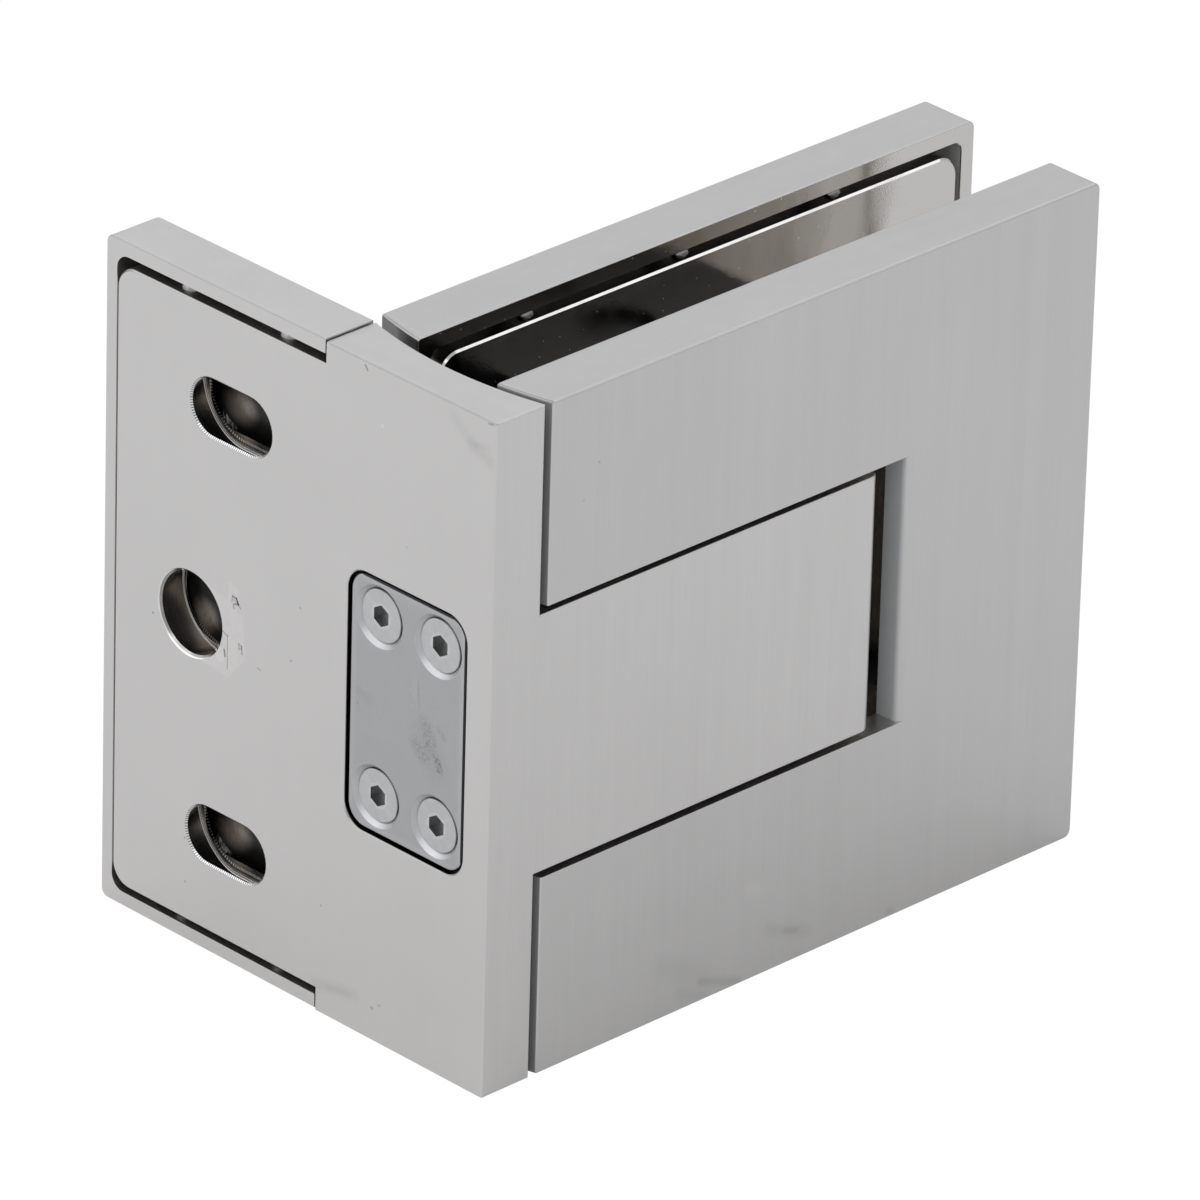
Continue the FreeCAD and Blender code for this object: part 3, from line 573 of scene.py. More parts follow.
@dataclass(frozen=True)
class DullSteel:
    """Plain pressed steel sheet with finger marks and small stains."""

    colour: Triple = (0.455, 0.452, 0.453)
    roughness: float = 0.40
    grain_per_mm: float = 7.0
    clouds_per_mm: float = 0.35
    grain_contrast: float = 0.05
    cloud_contrast: float = 0.12
    cloud_roughness: float = 0.15
    pit_dark: float = 0.22
    rounded_edge_pale: float = 0.10
    grain_depth: float = 0.0012

    def look(self, shop: Shop) -> Look:
        """Cloudy stains in the middle, fine grain all over, paler where an edge is rounded.

        Args:
            shop: the material.

        Returns:
            The look of the steel sheet.
        """
        grain = shop.noise(self.grain_per_mm, 2.0, 1.0)
        clouds = shop.noise(self.clouds_per_mm, 4.0, 6.0, 0.6) - 0.5
        pits = shop.specks(1.6, 0.05, 0.16, 2.0)
        # paler where the face does not look along x, picked by its direction
        rounded_edge = abs(shop.nx).ramp(0.98, 0.85)
        tone = (grain - 0.5) * self.grain_contrast + clouds * self.cloud_contrast + 1.0
        tone = tone - pits * self.pit_dark + rounded_edge * self.rounded_edge_pale
        roughness = clouds * self.cloud_roughness + self.roughness
        return Look(shop.shade(self.colour, tone), roughness, shop.value(1.0),
                    grain * self.grain_depth)


@dataclass(frozen=True)
class TurnedSteel:
    """Bright steel with fine grain, from a lathe."""

    colour: Triple = (0.58, 0.58, 0.575)
    roughness: float = 0.26
    grain_per_mm: float = 5.0
    clouds_per_mm: float = 0.4
    grain_contrast: float = 0.08
    cloud_contrast: float = 0.10
    cloud_roughness: float = 0.12
    grain_depth: float = 0.001

    def look(self, shop: Shop) -> Look:
        """Fine grain with soft clouds.

        Args:
            shop: the material.

        Returns:
            The look of the turned steel.
        """
        grain = shop.noise(self.grain_per_mm, 3.0, 8.0)
        clouds = shop.noise(self.clouds_per_mm, 3.0, 3.0) - 0.5
        tone = (grain - 0.5) * self.grain_contrast + clouds * self.cloud_contrast + 1.0
        roughness = clouds * self.cloud_roughness + self.roughness
        return Look(shop.shade(self.colour, tone), roughness, shop.value(1.0),
                    grain * self.grain_depth)


@dataclass(frozen=True)
class PlainBody:
    """Bearing bronze, acetal, rubber and blacking: one colour with a fine grain."""

    colour: Triple
    roughness: float
    metallic: float
    grain_per_mm: float = 3.0
    clouds_per_mm: float = 0.3
    grain_contrast: float = 0.15
    cloud_contrast: float = 0.2
    grain_roughness: float = 0.1
    grain_depth: float = 0.002

    def look(self, shop: Shop) -> Look:
        """Fine grain and soft clouds.

        Args:
            shop: the material.

        Returns:
            The look of the plain material.
        """
        grain = shop.noise(self.grain_per_mm, 3.0, 2.0)
        clouds = shop.noise(self.clouds_per_mm, 3.0, 5.0) - 0.5
        tone = (grain - 0.5) * self.grain_contrast + clouds * self.cloud_contrast + 1.0
        roughness = (grain - 0.5) * self.grain_roughness + self.roughness
        return Look(shop.shade(self.colour, tone), roughness, shop.value(self.metallic),
                    grain * self.grain_depth)


BLACKENED = PlainBody(BLACK, 0.35, 0.0)


def dress(node: str, material: bpy.types.Material) -> None:
    """Give a piece of the frame its finish.

    Args:
        node: the piece's name.
        material: the finish.
    """
    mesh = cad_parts[node].data
    mesh.materials.clear()
    mesh.materials.append(material)
    LOG.info("%s wears %s", node, material.name)


@dataclass
class WallSide:
    """The part that is screwed to the wall, with its tongue and what the tongue holds.

    Sizes are millimetres of the hinge's frame: x leads out of the wall, y along it, z up.
    """

    nickel: Triple = (0.655, 0.635, 0.617)
    plate_thickness: float = 5.2
    cover_inner_face: float = 5.6
    slot_mid: float = -6.8
    slot_half: float = 3.25
    slot_radius: float = 3.8
    slot_height: float = 28.9
    slot_reach: float = 6.1
    sink_start: float = 3.2
    hole_radius: float = 5.4
    hole_reach: float = 7.0
    pocket_mid: float = -37.8
    pocket_half: Pair = (10.7, 17.7)
    edge: float = 0.1
    rim_depths: Pair = (0.26, 0.30)
    screw_place: Pair = (5.1, 12.05)
    screw_reach: float = 4.6
    plate_half_width: float = 9.95
    plate_half_height: float = 16.95
    tooth: float = 0.48
    # colour of the cut marks and of the painted highlights and reflections in the openings
    mark_and_reflection_white: Triple = (0.97, 0.95, 0.92)
    cut_matt: float = 0.75
    # cut chamfer colour, paler as a painted highlight
    rim_pale_and_highlight: Triple = (0.78, 0.775, 0.765)
    # painted shade and painted light on the wall cover's inner face
    unlit: Triple = (0.07, 0.068, 0.068)
    lit: Triple = (0.74, 0.67, 0.60)
    # painted shade in the pocket and deep in the countersinks
    pocket_shade: float = 0.72
    sunk_shade: float = 0.62
    gap_shade: float = 0.93
    # the main view's line of sight, along which the openings' painted reflections are carried
    sight_line: Pair = (1.011, -0.727)
    # cut rings and teeth with their painted reflections on the cover's inner face; the glint is a
    # painted highlight
    slot_rings: tuple[Ring, ...] = (Ring(7.36, 7.50, 0.06, 1.2), Ring(7.08, 7.2, 0.06, 0.8),
                                     Ring(6.85, 6.92, 0.05, 0.35))
    slot_teeth: Ring = Ring(6.2, 6.5, 0.04, 0.75)
    slot_teeth_rate: float = 2.0
    slot_glint: Ring = Ring(5.3, 6.05, 0.15, 1.6)
    glint_place: Pair = (-0.5, -4.5)
    lit_patch_place: Pair = (-2.4, -2.2)
    hole_rings: tuple[Ring, ...] = (Ring(7.05, 7.3, 0.08, 0.9), Ring(6.7, 6.8, 0.06, 0.5))
    hole_teeth: Ring = Ring(6.15, 6.6, 0.04, 0.8)
    hole_teeth_rate: float = 1.6
    hole_lit_patch_place: Pair = (3.4, -3.4)
    rim_teeth_rate: float = 1.5
    rim_teeth_dark: float = 0.62
    rim_teeth_depth: float = 0.05
    rim_roughness: float = 0.22
    hole_rim_shift: float = 0.12
    film_pale: float = 0.07
    film_roughness: float = 0.06
    residue: tuple[Pair, ...] = ((-0.8, 5.6), (-6.7, 4.4), (-9.3, 3.2), (-9.9, -2.4),
                                 (-6.8, -6.0), (-1.0, -5.5))
    residue_tip: tuple[Pair, ...] = ((-6.7, 4.0), (-6.8, 7.1), (-8.5, 6.6), (-8.9, 3.9))
    wall_marks: tuple[Mark, ...] = (
        Mark((-7.5, 5.3), (-8.2, 5.2), 0.26, -0.42), Mark((-8.2, 5.2), (-8.55, 4.5), 0.28, -0.5),
        Mark((-8.45, 4.5), (-7.8, 4.3), 0.24, -0.4), Mark((-7.5, 5.2), (-7.4, 4.5), 0.22, -0.25),
        Mark((-8.3, 4.9), (-8.9, 4.1), 0.2, -0.45), Mark((-7.7, 4.2), (-7.75, 3.7), 0.22, -0.45),
        Mark((-7.8, 5.0), (-8.3, 4.5), 0.7, -0.14), Mark((-8.7, -0.7), (-9.2, -0.9), 0.24, -0.3),
        Mark((-9.2, -0.9), (-9.3, -1.9), 0.26, -0.4),
        Mark((-8.7, -0.8), (-8.75, -1.5), 0.24, -0.3),
        Mark((-8.9, -1.3), (-9.2, -1.2), 0.3, -0.2),
        Mark((-5.5, 0.05), (-6.7, -0.44), 0.22, -0.42),
        Mark((-6.7, -0.44), (-6.75, -4.9), 0.2, -0.34),
        Mark((-5.5, 0.05), (-5.2, -0.3), 0.2, -0.2),
        Mark((-6.95, -0.5), (-7.0, -4.9), 0.25, 0.06),
        Mark((-5.3, -3.4), (-5.3, -3.4), 1.9, 0.07, 0.1),
        Mark((-6.15, -2.5), (-6.3, -3.3), 0.3, -0.6),
        Mark((-4.5, -3.0), (-4.4, -3.9), 0.18, -0.15),
        Mark((-22.9, -41.3), (-29.8, -40.1), 1.6, -0.07, 0.9),
        Mark((-25.5, -40.9), (-29.0, -40.3), 0.7, -0.06, 0.9),
        Mark((-45.0, 43.5), (-48.2, 40.9), 1.3, -0.045, 1.0),
        Mark((-48.2, 41.0), (-51.2, 39.8), 1.5, -0.08, 1.0),
        Mark((-48.9, 41.0), (-50.9, 41.4), 0.7, -0.06, 1.0),
        Mark((-29.9, 44.4), (-30.3, 43.9), 0.28, -0.45),
        Mark((-51.0, 44.6), (-51.7, 44.7), 0.3, -0.35), dot(6.6, -2.4, 0.35, -0.4),
        dot(-19.4, 8.25), dot(-17.95, 0.57), Mark((-12.1, -2.65), (-12.6, -2.8), 0.22, -0.3),
        dot(-37.6, 23.3, 0.35, -0.15), dot(-33.0, 37.6, 0.5, 0.12), dot(-23.85, -30.3),
        dot(0.5, -30.8), dot(0.3, -36.8), dot(-3.7, 32.4, 0.25, -0.2),
        dot(-33.1, -40.6, 0.5, -0.25), dot(-34.4, -39.7, 0.4, -0.2), dot(-52.0, 44.9, 0.3, -0.2))
    plate_marks: tuple[Mark, ...] = (
        Mark((-40.6, -0.6), (-43.2, -4.4), 3.6, -0.09, 1.0),
        Mark((-41.0, 0.9), (-41.8, -0.6), 1.8, -0.13, 0.8),
        Mark((-39.4, -2.4), (-40.8, -3.4), 1.8, -0.13, 0.8),
        Mark((-43.2, -3.0), (-43.6, -4.2), 1.0, -0.26, 0.6),
        Mark((-43.4, 1.2), (-44.3, 0.2), 0.8, -0.12, 0.8),
        Mark((-41.4, -1.8), (-42.4, -2.4), 1.0, -0.12, 0.8),
        Mark((-29.6, 1.0), (-31.0, 0.4), 1.2, -0.08, 0.8), dot(-29.3, -0.7, 0.3),
        dot(-42.8, -1.3, 0.35), dot(-40.1, -3.9, 0.3, -0.25),
        Mark((-39.7, 6.4), (-39.9, 2.6), 0.14, -0.28),
        Mark((-38.9, 5.8), (-39.0, 3.6), 0.5, 0.05, 0.8), dot(-38.4, 4.6, 0.3, 0.14),
        dot(-38.6, 2.6, 0.3, 0.16), dot(-42.9, 3.4, 0.35, 0.12), dot(-31.8, 9.0, 0.25),
        dot(-33.4, -1.4, 0.25, -0.2))

    def round_slot(self, y: Signal, z: Signal) -> tuple[Signal, Signal]:
        """Places about the two level slots.

        The distance is measured from the straight line that joins the centres of a slot's round
        ends. The way round is the radius times the angle, plus the way along the straight sides.

        Args:
            y: place along the wall.
            z: height.

        Returns:
            The distance, and the way round, both in millimetres.
        """
        level = y - self.slot_mid
        straight = level.most(-self.slot_half).least(self.slot_half)
        beyond = level - straight
        rise = z - z.sign() * self.slot_height
        way = rise.angle(beyond) * self.slot_radius - rise.sign() * straight
        return beyond.reach(rise), way

    def cut_marks_and_reflections(self, shop: Shop) -> tuple[Signal, Signal]:
        """Rings, rows of teeth and a glint in the openings, partly cut marks and partly painted
        highlights and painted reflections, and the painted lit patches beside them.

        Each ring is a curve of one distance from the slot's or the hole's middle after a point is
        carried along the main view's line of sight to the cover's inner face, so that the painted
        reflections line up across the wall and the cover's mirror face.

        Args:
            shop: the material.

        Returns:
            The marks' brightness, and a mask of the painted lit patches.
        """
        depth = self.cover_inner_face - shop.x
        y = shop.y + depth * self.sight_line[0]
        z = shop.z + depth * self.sight_line[1]
        low = z - z.sign() * self.slot_height
        distance, way = self.round_slot(y, z)
        # painted highlight: a streaked glint in the lower part of the slot
        streaks = shop.noise((0.6, 5.0, 0.8), 2.0, 17.0).ramp(0.4, 0.6)
        glint = (y - self.glint_place[0]).reach(low - self.glint_place[1]).ramp(1.9, 0.5)
        slot = self.teeth(way * self.slot_teeth_rate) * self.slot_teeth.at(distance)
        slot = slot + glint * streaks * self.slot_glint.at(distance)
        for ring in self.slot_rings:
            slot = slot + ring.at(distance)
        across = y.reach(z)
        turn = z.angle(y) * self.hole_radius
        hole = self.teeth(turn * self.hole_teeth_rate) * self.hole_teeth.at(across)
        hole = hole * z.ramp(-4.0, -5.2)
        for ring in self.hole_rings:
            hole = hole + ring.at(across)
        near_hole = across.ramp(9.0, 8.8)
        # painted light: soft lit patches beside the slot and the hole
        off = y - self.lit_patch_place[0]
        rise = low - self.lit_patch_place[1]
        slot_lit_patch = (off * off * 0.6 + rise * rise).root().ramp(3.0, 0.4)
        hole_lit_patch = (y - self.hole_lit_patch_place[0]).reach(z - self.hole_lit_patch_place[1])
        lit_patch = (slot_lit_patch * (1.0 - near_hole)).most(hole_lit_patch.ramp(3.0, 0.3) * near_hole)
        return (slot * (1.0 - near_hole) + hole * near_hole).least(1.0), lit_patch

    def teeth(self, way: Signal) -> Signal:
        """Marks of a chattering cutter: 1 and 0 by turns along a way round."""
        return (way * (FULL_TURN / self.tooth)).sine().ramp(-0.35, 0.35)

    def face_look(self, shop: Shop) -> Look:
        """Satin with what lies on the wall face: small marks and the residue beside the hole.

        Args:
            shop: the material.

        Returns:
            The look of the wall body's outside.
        """
        satin = SatinNickel(colour=self.nickel, top_lines=Axis.ALONG).look(shop)
        face = shop.nx.ramp(-0.9, -0.97) * shop.x.ramp(0.1, 0.05)
        left = shop.panel(shop.y, shop.z, self.residue, self.edge).most(
            shop.panel(shop.y, shop.z, self.residue_tip, self.edge))
        film = shop.noise(0.8, 4.0, 21.0, 0.7).ramp(0.25, 0.6) * left
        marks = shop.marks(shop.y, shop.z, self.wall_marks) + film * self.film_pale
        return replace(satin, colour=shop.shade(satin.colour, marks * face + 1.0),
                       roughness=satin.roughness + film * face * self.film_roughness)

    def body_material(self) -> bpy.types.Material:
        """Satin outside, bright rims that are partly painted highlight, and bare cut metal in the
        slots, hole and pocket, with painted shade in the pocket and deep in the countersinks.

        Returns:
            The finish of the wall body.
        """
        shop = Shop("wall_body_nickel")
        distance, way = self.round_slot(shop.y, shop.z)
        in_slot = distance.inside(self.slot_reach, self.edge)
        in_hole = shop.y.reach(shop.z).inside(self.hole_reach, self.edge)
        opening = in_slot.most(in_hole)
        in_pocket = abs(shop.y - self.pocket_mid).inside(self.pocket_half[0], self.edge)
        in_pocket = in_pocket * abs(shop.z).inside(self.pocket_half[1], self.edge)

        rim_start, rim_end = self.rim_depths
        depth = shop.x + in_hole * self.hole_rim_shift
        rim_teeth = self.teeth(way * self.rim_teeth_rate) * in_slot * self.rim_teeth_dark
        # the chamfered rims: cut metal with chatter teeth, painted paler as a painted highlight
        rim = opening * shop.x.ramp(0.0, 0.03) * depth.ramp(rim_end, rim_start)
        bright = Look(shop.shade(self.rim_pale_and_highlight, 1.0 - rim_teeth),
                      shop.value(self.rim_roughness), shop.value(1.0),
                      rim_teeth * self.rim_teeth_depth)

        bore = MachinedBore().look(shop)
        # cut marks, painted highlights and painted reflections in the openings
        cut, _ = self.cut_marks_and_reflections(shop)
        # painted shade: the bore is darker in the pocket and deep in the countersink
        sunk = in_slot * shop.x.ramp(self.sink_start, self.sink_start + self.edge)
        base = shop.shade(bore.colour,
                          1.0 - in_pocket * self.pocket_shade - sunk * self.sunk_shade)
        bore = Look(shop.mix(cut, base, self.mark_and_reflection_white), bore.roughness + cut * 0.2,
                    1.0 - cut * self.cut_matt, bore.relief)
        back = shop.x.ramp(self.plate_thickness + 0.03, self.plate_thickness - 0.02)
        walls = opening * depth.ramp(0.24, rim_end) * back * abs(shop.nx).ramp(0.98, 0.93)
        pocket = in_pocket * shop.x.ramp(0.25, 0.31)
        look = shop.over(self.face_look(shop), bright, rim)
        return shop.finish(shop.over(look, bore, walls.most(pocket)))

    def cover_material(self) -> bpy.types.Material:
        """Satin outside, and painted shade on the inner face with painted lit patches and the
        cutter's marks.

        Returns:
            The finish of the wall cover.
        """
        shop = Shop("wall_cover_nickel")
        satin = SatinNickel(colour=self.nickel, top_lines=Axis.ALONG).look(shop)
        cut, lit_patch = self.cut_marks_and_reflections(shop)
        swirl = shop.noise((0.5, 3.0, 1.2), 3.0, 19.0)
        # painted shade on the inner face, with painted light in the patches
        grey = shop.shade(shop.mix(lit_patch, self.unlit, self.lit), (swirl - 0.5) * 0.7 + 1.0)
        bare = Look(shop.mix(cut, grey, self.mark_and_reflection_white), shop.value(0.4),
                    1.0 - cut * self.cut_matt, swirl * 0.004)
        mask = shop.nx.ramp(-0.5, -0.8) * shop.x.ramp(3.0, 4.0)
        return shop.finish(shop.over(satin, bare, mask))

    def plate_material(self) -> bpy.types.Material:
        """Dull steel with finger marks and a scratch, paler near its edges.

        The bevel and a strip along the near and top edges get painted shade, for the shade in the
        gap above and beside the plate.

        Returns:
            The finish of the chamber plate.
        """
        shop = Shop("chamber_plate_steel")
        steel = DullSteel().look(shop)
        grime = shop.noise(2.6, 4.0, 13.0, 0.7).ramp(0.4, 0.62)
        marks = shop.marks(shop.y, shop.z, self.plate_marks) * (grime * 1.1 + 0.3)
        side = shop.y - self.pocket_mid
        inset = (self.plate_half_width - abs(side)).least(self.plate_half_height - abs(shop.z))
        pale = inset.ramp(1.5, 0.3) * 0.10
        away = (abs(side) - self.screw_place[0]).reach(abs(shop.z) - self.screw_place[1])
        clear = away.ramp(self.screw_reach - self.edge, self.screw_reach + self.edge)
        # painted shade on the bevel and along the near and top edges, for the gap
        bevel = (shop.nz - shop.ny).ramp(0.2, 0.5) * inset.ramp(1.0, 0.9) * clear
        shaded = (side + self.plate_half_width).least(self.plate_half_height - shop.z)
        gap = bevel.most(shaded.ramp(0.34, 0.28))
        tone = (marks + pale + 1.0) * (1.0 - gap * self.gap_shade)
        return shop.finish(replace(steel, colour=shop.shade(steel.colour, tone)))

    def build(self) -> None:
        """Dress every piece of the wall side."""
        dress("wall_body", self.body_material())
        dress("wall_cover", self.cover_material())
        dress("chamber_plate", self.plate_material())


@dataclass
class ClampHalf:
    """One half of the glass clamp: an inner plate and the cover that snaps on it.

    Inward is 1 where the glass lies towards +y of the half, and -1 where it lies towards -y.
    """

    name: str
    inward: float
    glass_face: float
    face_marks_and_shade: tuple[Mark, ...] = ()
    # painted shade on the arc end face
    arc_end_shade_colour: Triple = (0.26, 0.26, 0.265)
    arc_end_roughness: float = 0.085
    arc_end_matt: float = 0.0
    arc_end_place: float = 15.5
    reveal_colour: Triple = (0.55, 0.55, 0.545)
    reveal_place: float = 60.5
    half_blend: float = 0.5
    matt_depth: float = 0.9

    def cover_material(self) -> bpy.types.Material:
        """Satin outside, polished on the rim and inside, matt in the window and at the arc,
        where it is painted dark as painted shade.

        Returns:
            The finish of the cover.
        """
        shop = Shop(self.name + "_cover_nickel")
        satin = SatinNickel().look(shop)
        to_glass = shop.ny * self.inward
        if self.face_marks_and_shade:
            marks = shop.marks(shop.x, shop.z, self.face_marks_and_shade) * to_glass.ramp(-0.9, -0.97)
            satin = replace(satin, colour=shop.shade(satin.colour, marks + 1.0))
        to_wall = shop.nx.ramp(-0.75, -0.85)
        arc_end = to_wall * shop.x.inside(self.arc_end_place, self.half_blend)
        reveal = to_wall * shop.x.ramp(self.reveal_place - self.half_blend,
                                       self.reveal_place + self.half_blend)
        polished = PolishedNickel().look(shop)
        look = shop.over(satin, polished, to_glass.ramp(0.55, 0.75).most(arc_end))
        # painted shade: the arc end face is darker
        colour = shop.mix(arc_end, look.colour, self.arc_end_shade_colour)
        matt = reveal.most(arc_end * self.arc_end_matt)
        return shop.finish(Look(shop.mix(reveal, colour, self.reveal_colour),
                                look.roughness + arc_end * self.arc_end_roughness,
                                look.metallic * (1.0 - matt * self.matt_depth), look.relief))

    def plate_material(self) -> bpy.types.Material:
        """Polished plate; the bosses that cross the glass gap are blackened.

        Returns:
            The finish of the inner plate.
        """
        shop = Shop(self.name + "_plate_nickel")
        past = (shop.y - self.glass_face) * self.inward
        return shop.finish(shop.over(PolishedNickel().look(shop), BLACKENED.look(shop),
                                     past.ramp(0.04, 0.12)))

    def build(self) -> None:
        """Dress the cover and the plate."""
        dress(self.name + "_clamp_cover", self.cover_material())
        dress(self.name + "_clamp_plate", self.plate_material())


@dataclass
class SmallParts:
    """Screws, catches, bearings and seals."""

    screw_mid: Pair = (-37.8, 0.0)
    screw_pitch: Pair = (5.1, 12.05)
    socket_radius: float = 1.5
    shank_radius: float = 2.1
    thread_pitch: float = 0.7
    ring_rate: float = 24.0
    pin_end: float = 28.0
    stock: tuple = (
        ("turned_steel", TurnedSteel(), ("clamp_screws", "spring_seat", "plunger")),
        ("catch_steel", TurnedSteel((0.32, 0.315, 0.31), 0.2),
         ("wall_cover_catches", "near_cover_catches", "far_cover_catches")),
        ("dull_steel", DullSteel(), ("closing_spring", "pin_set_screws")),
        ("bearing_bronze", PlainBody((0.60, 0.40, 0.18), 0.35, 1.0),
         ("upper_bush", "lower_bush")),
        ("black_acetal", PlainBody((0.03, 0.03, 0.03), 0.5, 0.0),
         ("upper_thrust_washer", "lower_thrust_washer")),
        ("seal_rubber", PlainBody((0.015, 0.015, 0.015), 0.7, 0.0), ("chamber_gasket",)))

    def chamber_screw_material(self) -> bpy.types.Material:
        """Bright heads with turned rings, painted shade in the sockets and on the heads' upper
        sides, painted highlights on the heads' outer rims, and threads on the shanks.

        The rings are a sine of the distance from the nearest screw's axis, and the threads are
        a sine of the depth.

        Returns:
            The finish of the four chamber screws.
        """
        shop = Shop("chamber_screw_steel")
        steel = TurnedSteel((0.56, 0.56, 0.555), 0.32).look(shop)
        level = abs(abs(shop.y - self.screw_mid[0]) - self.screw_pitch[0])
        rise = abs(abs(shop.z - self.screw_mid[1]) - self.screw_pitch[1])
        away = level.reach(rise)
        flat = abs(shop.nx)
        top = shop.x.ramp(0.9, 0.7)
        in_socket = away.ramp(self.socket_radius + 0.1, self.socket_radius)
        sides = in_socket * flat.ramp(0.9, 0.8)
        floor = in_socket * shop.x.ramp(1.0, 1.2)
        # painted shade in the sockets
        dark = sides.most(floor) * shop.x.ramp(3.2, 3.0)
        # painted highlight on the head's outer rim
        rim = away.ramp(3.35, 3.5) * top
        outline = away.ramp(1.25, 1.35) * away.ramp(1.75, 1.6) * flat.ramp(0.9, 0.95) * top
        # painted shade on the heads' upper sides, picked by direction
        shaded = (shop.nz - shop.ny).ramp(0.25, 0.6) * away.ramp(3.2, 3.4)
        rings = (away * self.ring_rate).sine()
        sectors = (rise.angle(level) * 3.0 + away).sine() * (rise.angle(level) * 7.0).sine()
        thread = (shop.x * (FULL_TURN / self.thread_pitch)).sine() * shop.x.ramp(3.2, 3.4)
        thread = thread * away.ramp(self.shank_radius + 0.05, self.shank_radius)
        tone = 1.0 - dark * 0.3 + rim * 0.15 - shaded * 0.75 + outline * 0.12
        tone = tone + rings * 0.012 + sectors * (1.0 - dark) * 0.035
        return shop.finish(replace(steel, colour=shop.shade(steel.colour, tone),
                                   relief=steel.relief + rings * 0.0008 + thread * 0.1))

    def pin_material(self) -> bpy.types.Material:
        """Turned steel with blackened ends.

        Returns:
            The finish of the pivot pin.
        """
        shop = Shop("pin_steel")
        ends = abs(shop.z).ramp(self.pin_end - 0.1, self.pin_end)
        return shop.finish(shop.over(TurnedSteel().look(shop), BLACKENED.look(shop), ends))

    def build(self) -> None:
        """Dress every small piece."""
        dress("chamber_screws", self.chamber_screw_material())
        dress("pivot_pin", self.pin_material())
        for name, finish, nodes in self.stock:
            shop = Shop(name)
            material = shop.finish(finish.look(shop))
            for node in nodes:
                dress(node, material)


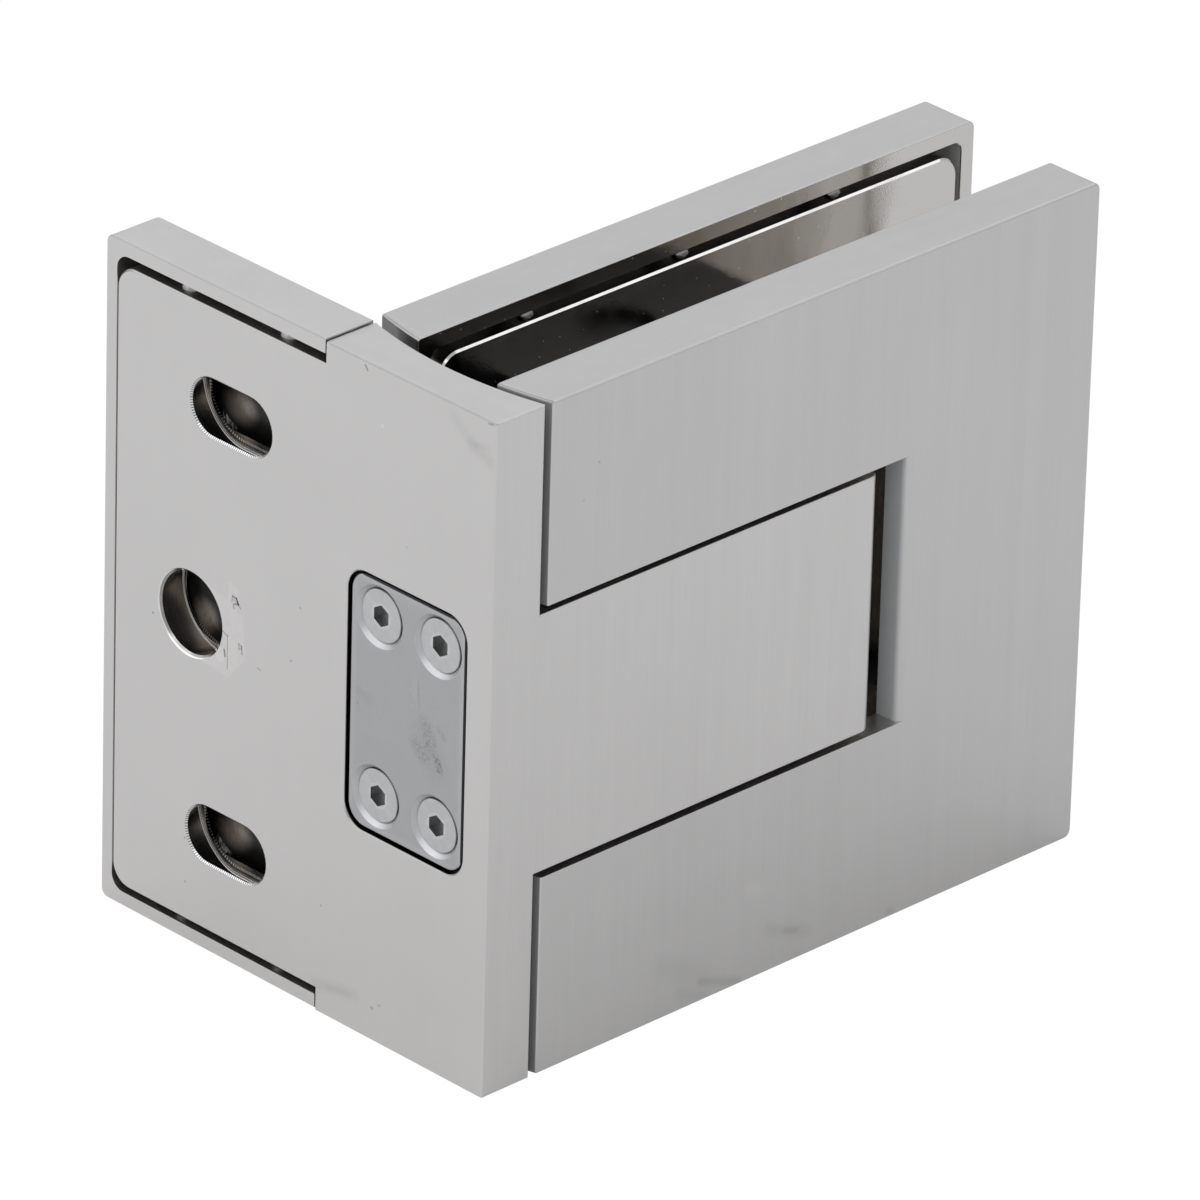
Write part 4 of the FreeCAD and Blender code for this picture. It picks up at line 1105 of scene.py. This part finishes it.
@dataclass
class Studio:
    """White floor and surroundings, a soft lamp, and the camera of the photograph."""

    distance: float = 1.566
    azimuth: float = 225.32
    elevation: float = 27.06
    roll: float = 1.61
    lens: float = 392.8
    sensor_width: float = 36.0
    target: Triple = (0.0281, -0.0418, 0.0085)
    floor_size: float = 6.0
    floor_white: float = 0.74
    floor_glow: float = 1.03
    floor_seen: float = 0.95
    floor_mirrored: float = 0.16
    sky_level: float = 0.75
    sky_lean: float = 0.09
    overhead_level: float = 0.95
    overhead_from: float = 0.57
    overhead_full: float = 0.61
    overhead_end: float = 0.74
    horizon: Pair = (-0.05, 0.1)
    sky_tint: Triple = (0.965, 0.99, 1.03)
    lamp_place: Triple = (-0.99, 0.81, 1.26)
    lamp_watts: float = 15.0
    lamp_size: float = 3.2

    def place_camera(self) -> None:
        """Stand the camera on its sight line, turned about that line by its roll."""
        azimuth = math.radians(self.azimuth)
        elevation = math.radians(self.elevation)
        back = Vector((math.cos(elevation) * math.cos(azimuth),
                       math.cos(elevation) * math.sin(azimuth), math.sin(elevation)))
        level_right = Vector((-math.sin(azimuth), math.cos(azimuth), 0.0))
        level_up = back.cross(level_right)
        roll = math.radians(self.roll)
        right = level_right * math.cos(roll) + level_up * math.sin(roll)
        up = back.cross(right)
        data = bpy.data.cameras.new("camera")
        data.lens = self.lens
        data.sensor_width = self.sensor_width
        data.clip_end = 100.0
        camera = bpy.data.objects.new("camera", data)
        matrix = Matrix((right, up, back)).transposed().to_4x4()
        matrix.translation = Vector(self.target) + back * self.distance
        camera.matrix_world = matrix
        bpy.context.scene.collection.objects.link(camera)
        bpy.context.scene.camera = camera

    def lay_floor(self) -> None:
        """A white floor at the hinge's lowest point, that shines only for camera and mirrors."""
        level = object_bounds()[0][2]
        half = self.floor_size / 2
        corners = [(x * half, y * half, level) for x, y in ((-1, -1), (1, -1), (1, 1), (-1, 1))]
        mesh = bpy.data.meshes.new("floor")
        mesh.from_pydata(corners, [], [(0, 1, 2, 3)])
        floor = bpy.data.objects.new("floor", mesh)
        bpy.context.scene.collection.objects.link(floor)
        floor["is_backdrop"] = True
        shop = Shop("floor_white")
        path = shop.node("ShaderNodeLightPath", {}, {})
        seen = Signal(shop, path.outputs["Is Camera Ray"])
        mirrored = Signal(shop, path.outputs["Is Glossy Ray"]).most(
            Signal(shop, path.outputs["Is Transmission Ray"]))
        matt = shop.node("ShaderNodeBsdfDiffuse", {},
                         {"Color": (self.floor_white,) * 3 + (1.0,)})
        glow = shop.node("ShaderNodeEmission", {},
                         {"Color": (*WHITE, 1.0), "Strength": self.floor_glow})
        share = seen * self.floor_seen + mirrored * self.floor_mirrored
        both = shop.node("ShaderNodeMixShader", {},
                         {0: share, 1: matt.outputs[0], 2: glow.outputs[0]})
        shop.node("ShaderNodeOutputMaterial", {}, {"Surface": both.outputs[0]})
        mesh.materials.append(shop.material)

    def light(self) -> None:
        """A pale sky, brighter overhead and a little on the lamp's side, and a large soft lamp."""
        world = bpy.data.worlds.new("studio")
        world.use_nodes = True
        bpy.context.scene.world = world
        sky = Graph(world.node_tree)
        x, y, z = sky.split(sky.node("ShaderNodeTexCoord", {}, {}).outputs["Generated"])
        overhead = z.ramp(self.overhead_from, self.overhead_full) * z.ramp(
            self.overhead_end, self.overhead_end - 0.06)
        level = (y - x) * self.sky_lean + overhead * self.overhead_level + self.sky_level
        tint = sky.mix(z.ramp(*self.horizon), WHITE, self.sky_tint)
        background = sky.node("ShaderNodeBackground", {}, {"Color": sky.shade(tint, level)})
        sky.node("ShaderNodeOutputWorld", {}, {"Surface": background.outputs[0]})
        data = bpy.data.lights.new("window_light", "AREA")
        data.size = self.lamp_size
        data.energy = self.lamp_watts
        lamp = bpy.data.objects.new("window_light", data)
        lamp.rotation_euler = (-Vector(self.lamp_place)).to_track_quat("-Z", "Y").to_euler()
        lamp.location = self.lamp_place
        bpy.context.scene.collection.objects.link(lamp)

    def build(self) -> None:
        """Camera, floor and light."""
        bpy.context.scene.view_settings.view_transform = "Standard"
        self.lay_floor()
        self.place_camera()
        self.light()


# smudges on the near cover's face, and a band of painted shade at the bottom
NEAR_FACE_MARKS_AND_SHADE = (
    dot(16.9, 34.6, 0.28), dot(14.5, 30.3, 0.28, -0.25),
    Mark((48.0, -39.2), (54.5, -41.8), 1.5, -0.07, 1.0),
    Mark((51.0, -40.3), (52.8, -41.0), 0.8, -0.09, 1.0),
    Mark((29.9, -37.7), (37.0, -41.6), 2.6, -0.05, 1.0),
    Mark((36.6, -42.3), (43.0, -44.4), 1.0, -0.13, 1.0),
    Mark((33.0, -42.6), (37.0, -44.4), 1.4, -0.06, 1.0),
    Mark((69.0, -44.0), (69.5, -44.6), 1.0, -0.12, 1.0),
    # painted shade: a wide soft band, darker towards the bottom
    Mark((30.0, -46.0), (95.0, -46.0), 14.0, -0.035, 1.0),
    Mark((44.5, -32.5), (46.4, -33.2), 1.6, 0.04, 1.0))


def main() -> None:
    """Dress the hinge piece by piece and set up the studio."""
    logging.basicConfig(level=logging.INFO, format="%(name)s: %(message)s")
    WallSide().build()
    ClampHalf("near", inward=1.0, glass_face=-44.0, face_marks_and_shade=NEAR_FACE_MARKS_AND_SHADE,
              arc_end_shade_colour=(0.25, 0.25, 0.25), arc_end_roughness=0.3, arc_end_matt=1.0).build()
    ClampHalf("far", inward=-1.0, glass_face=-30.2).build()
    SmallParts().build()
    Studio().build()


if __name__ == "__main__":
    main()
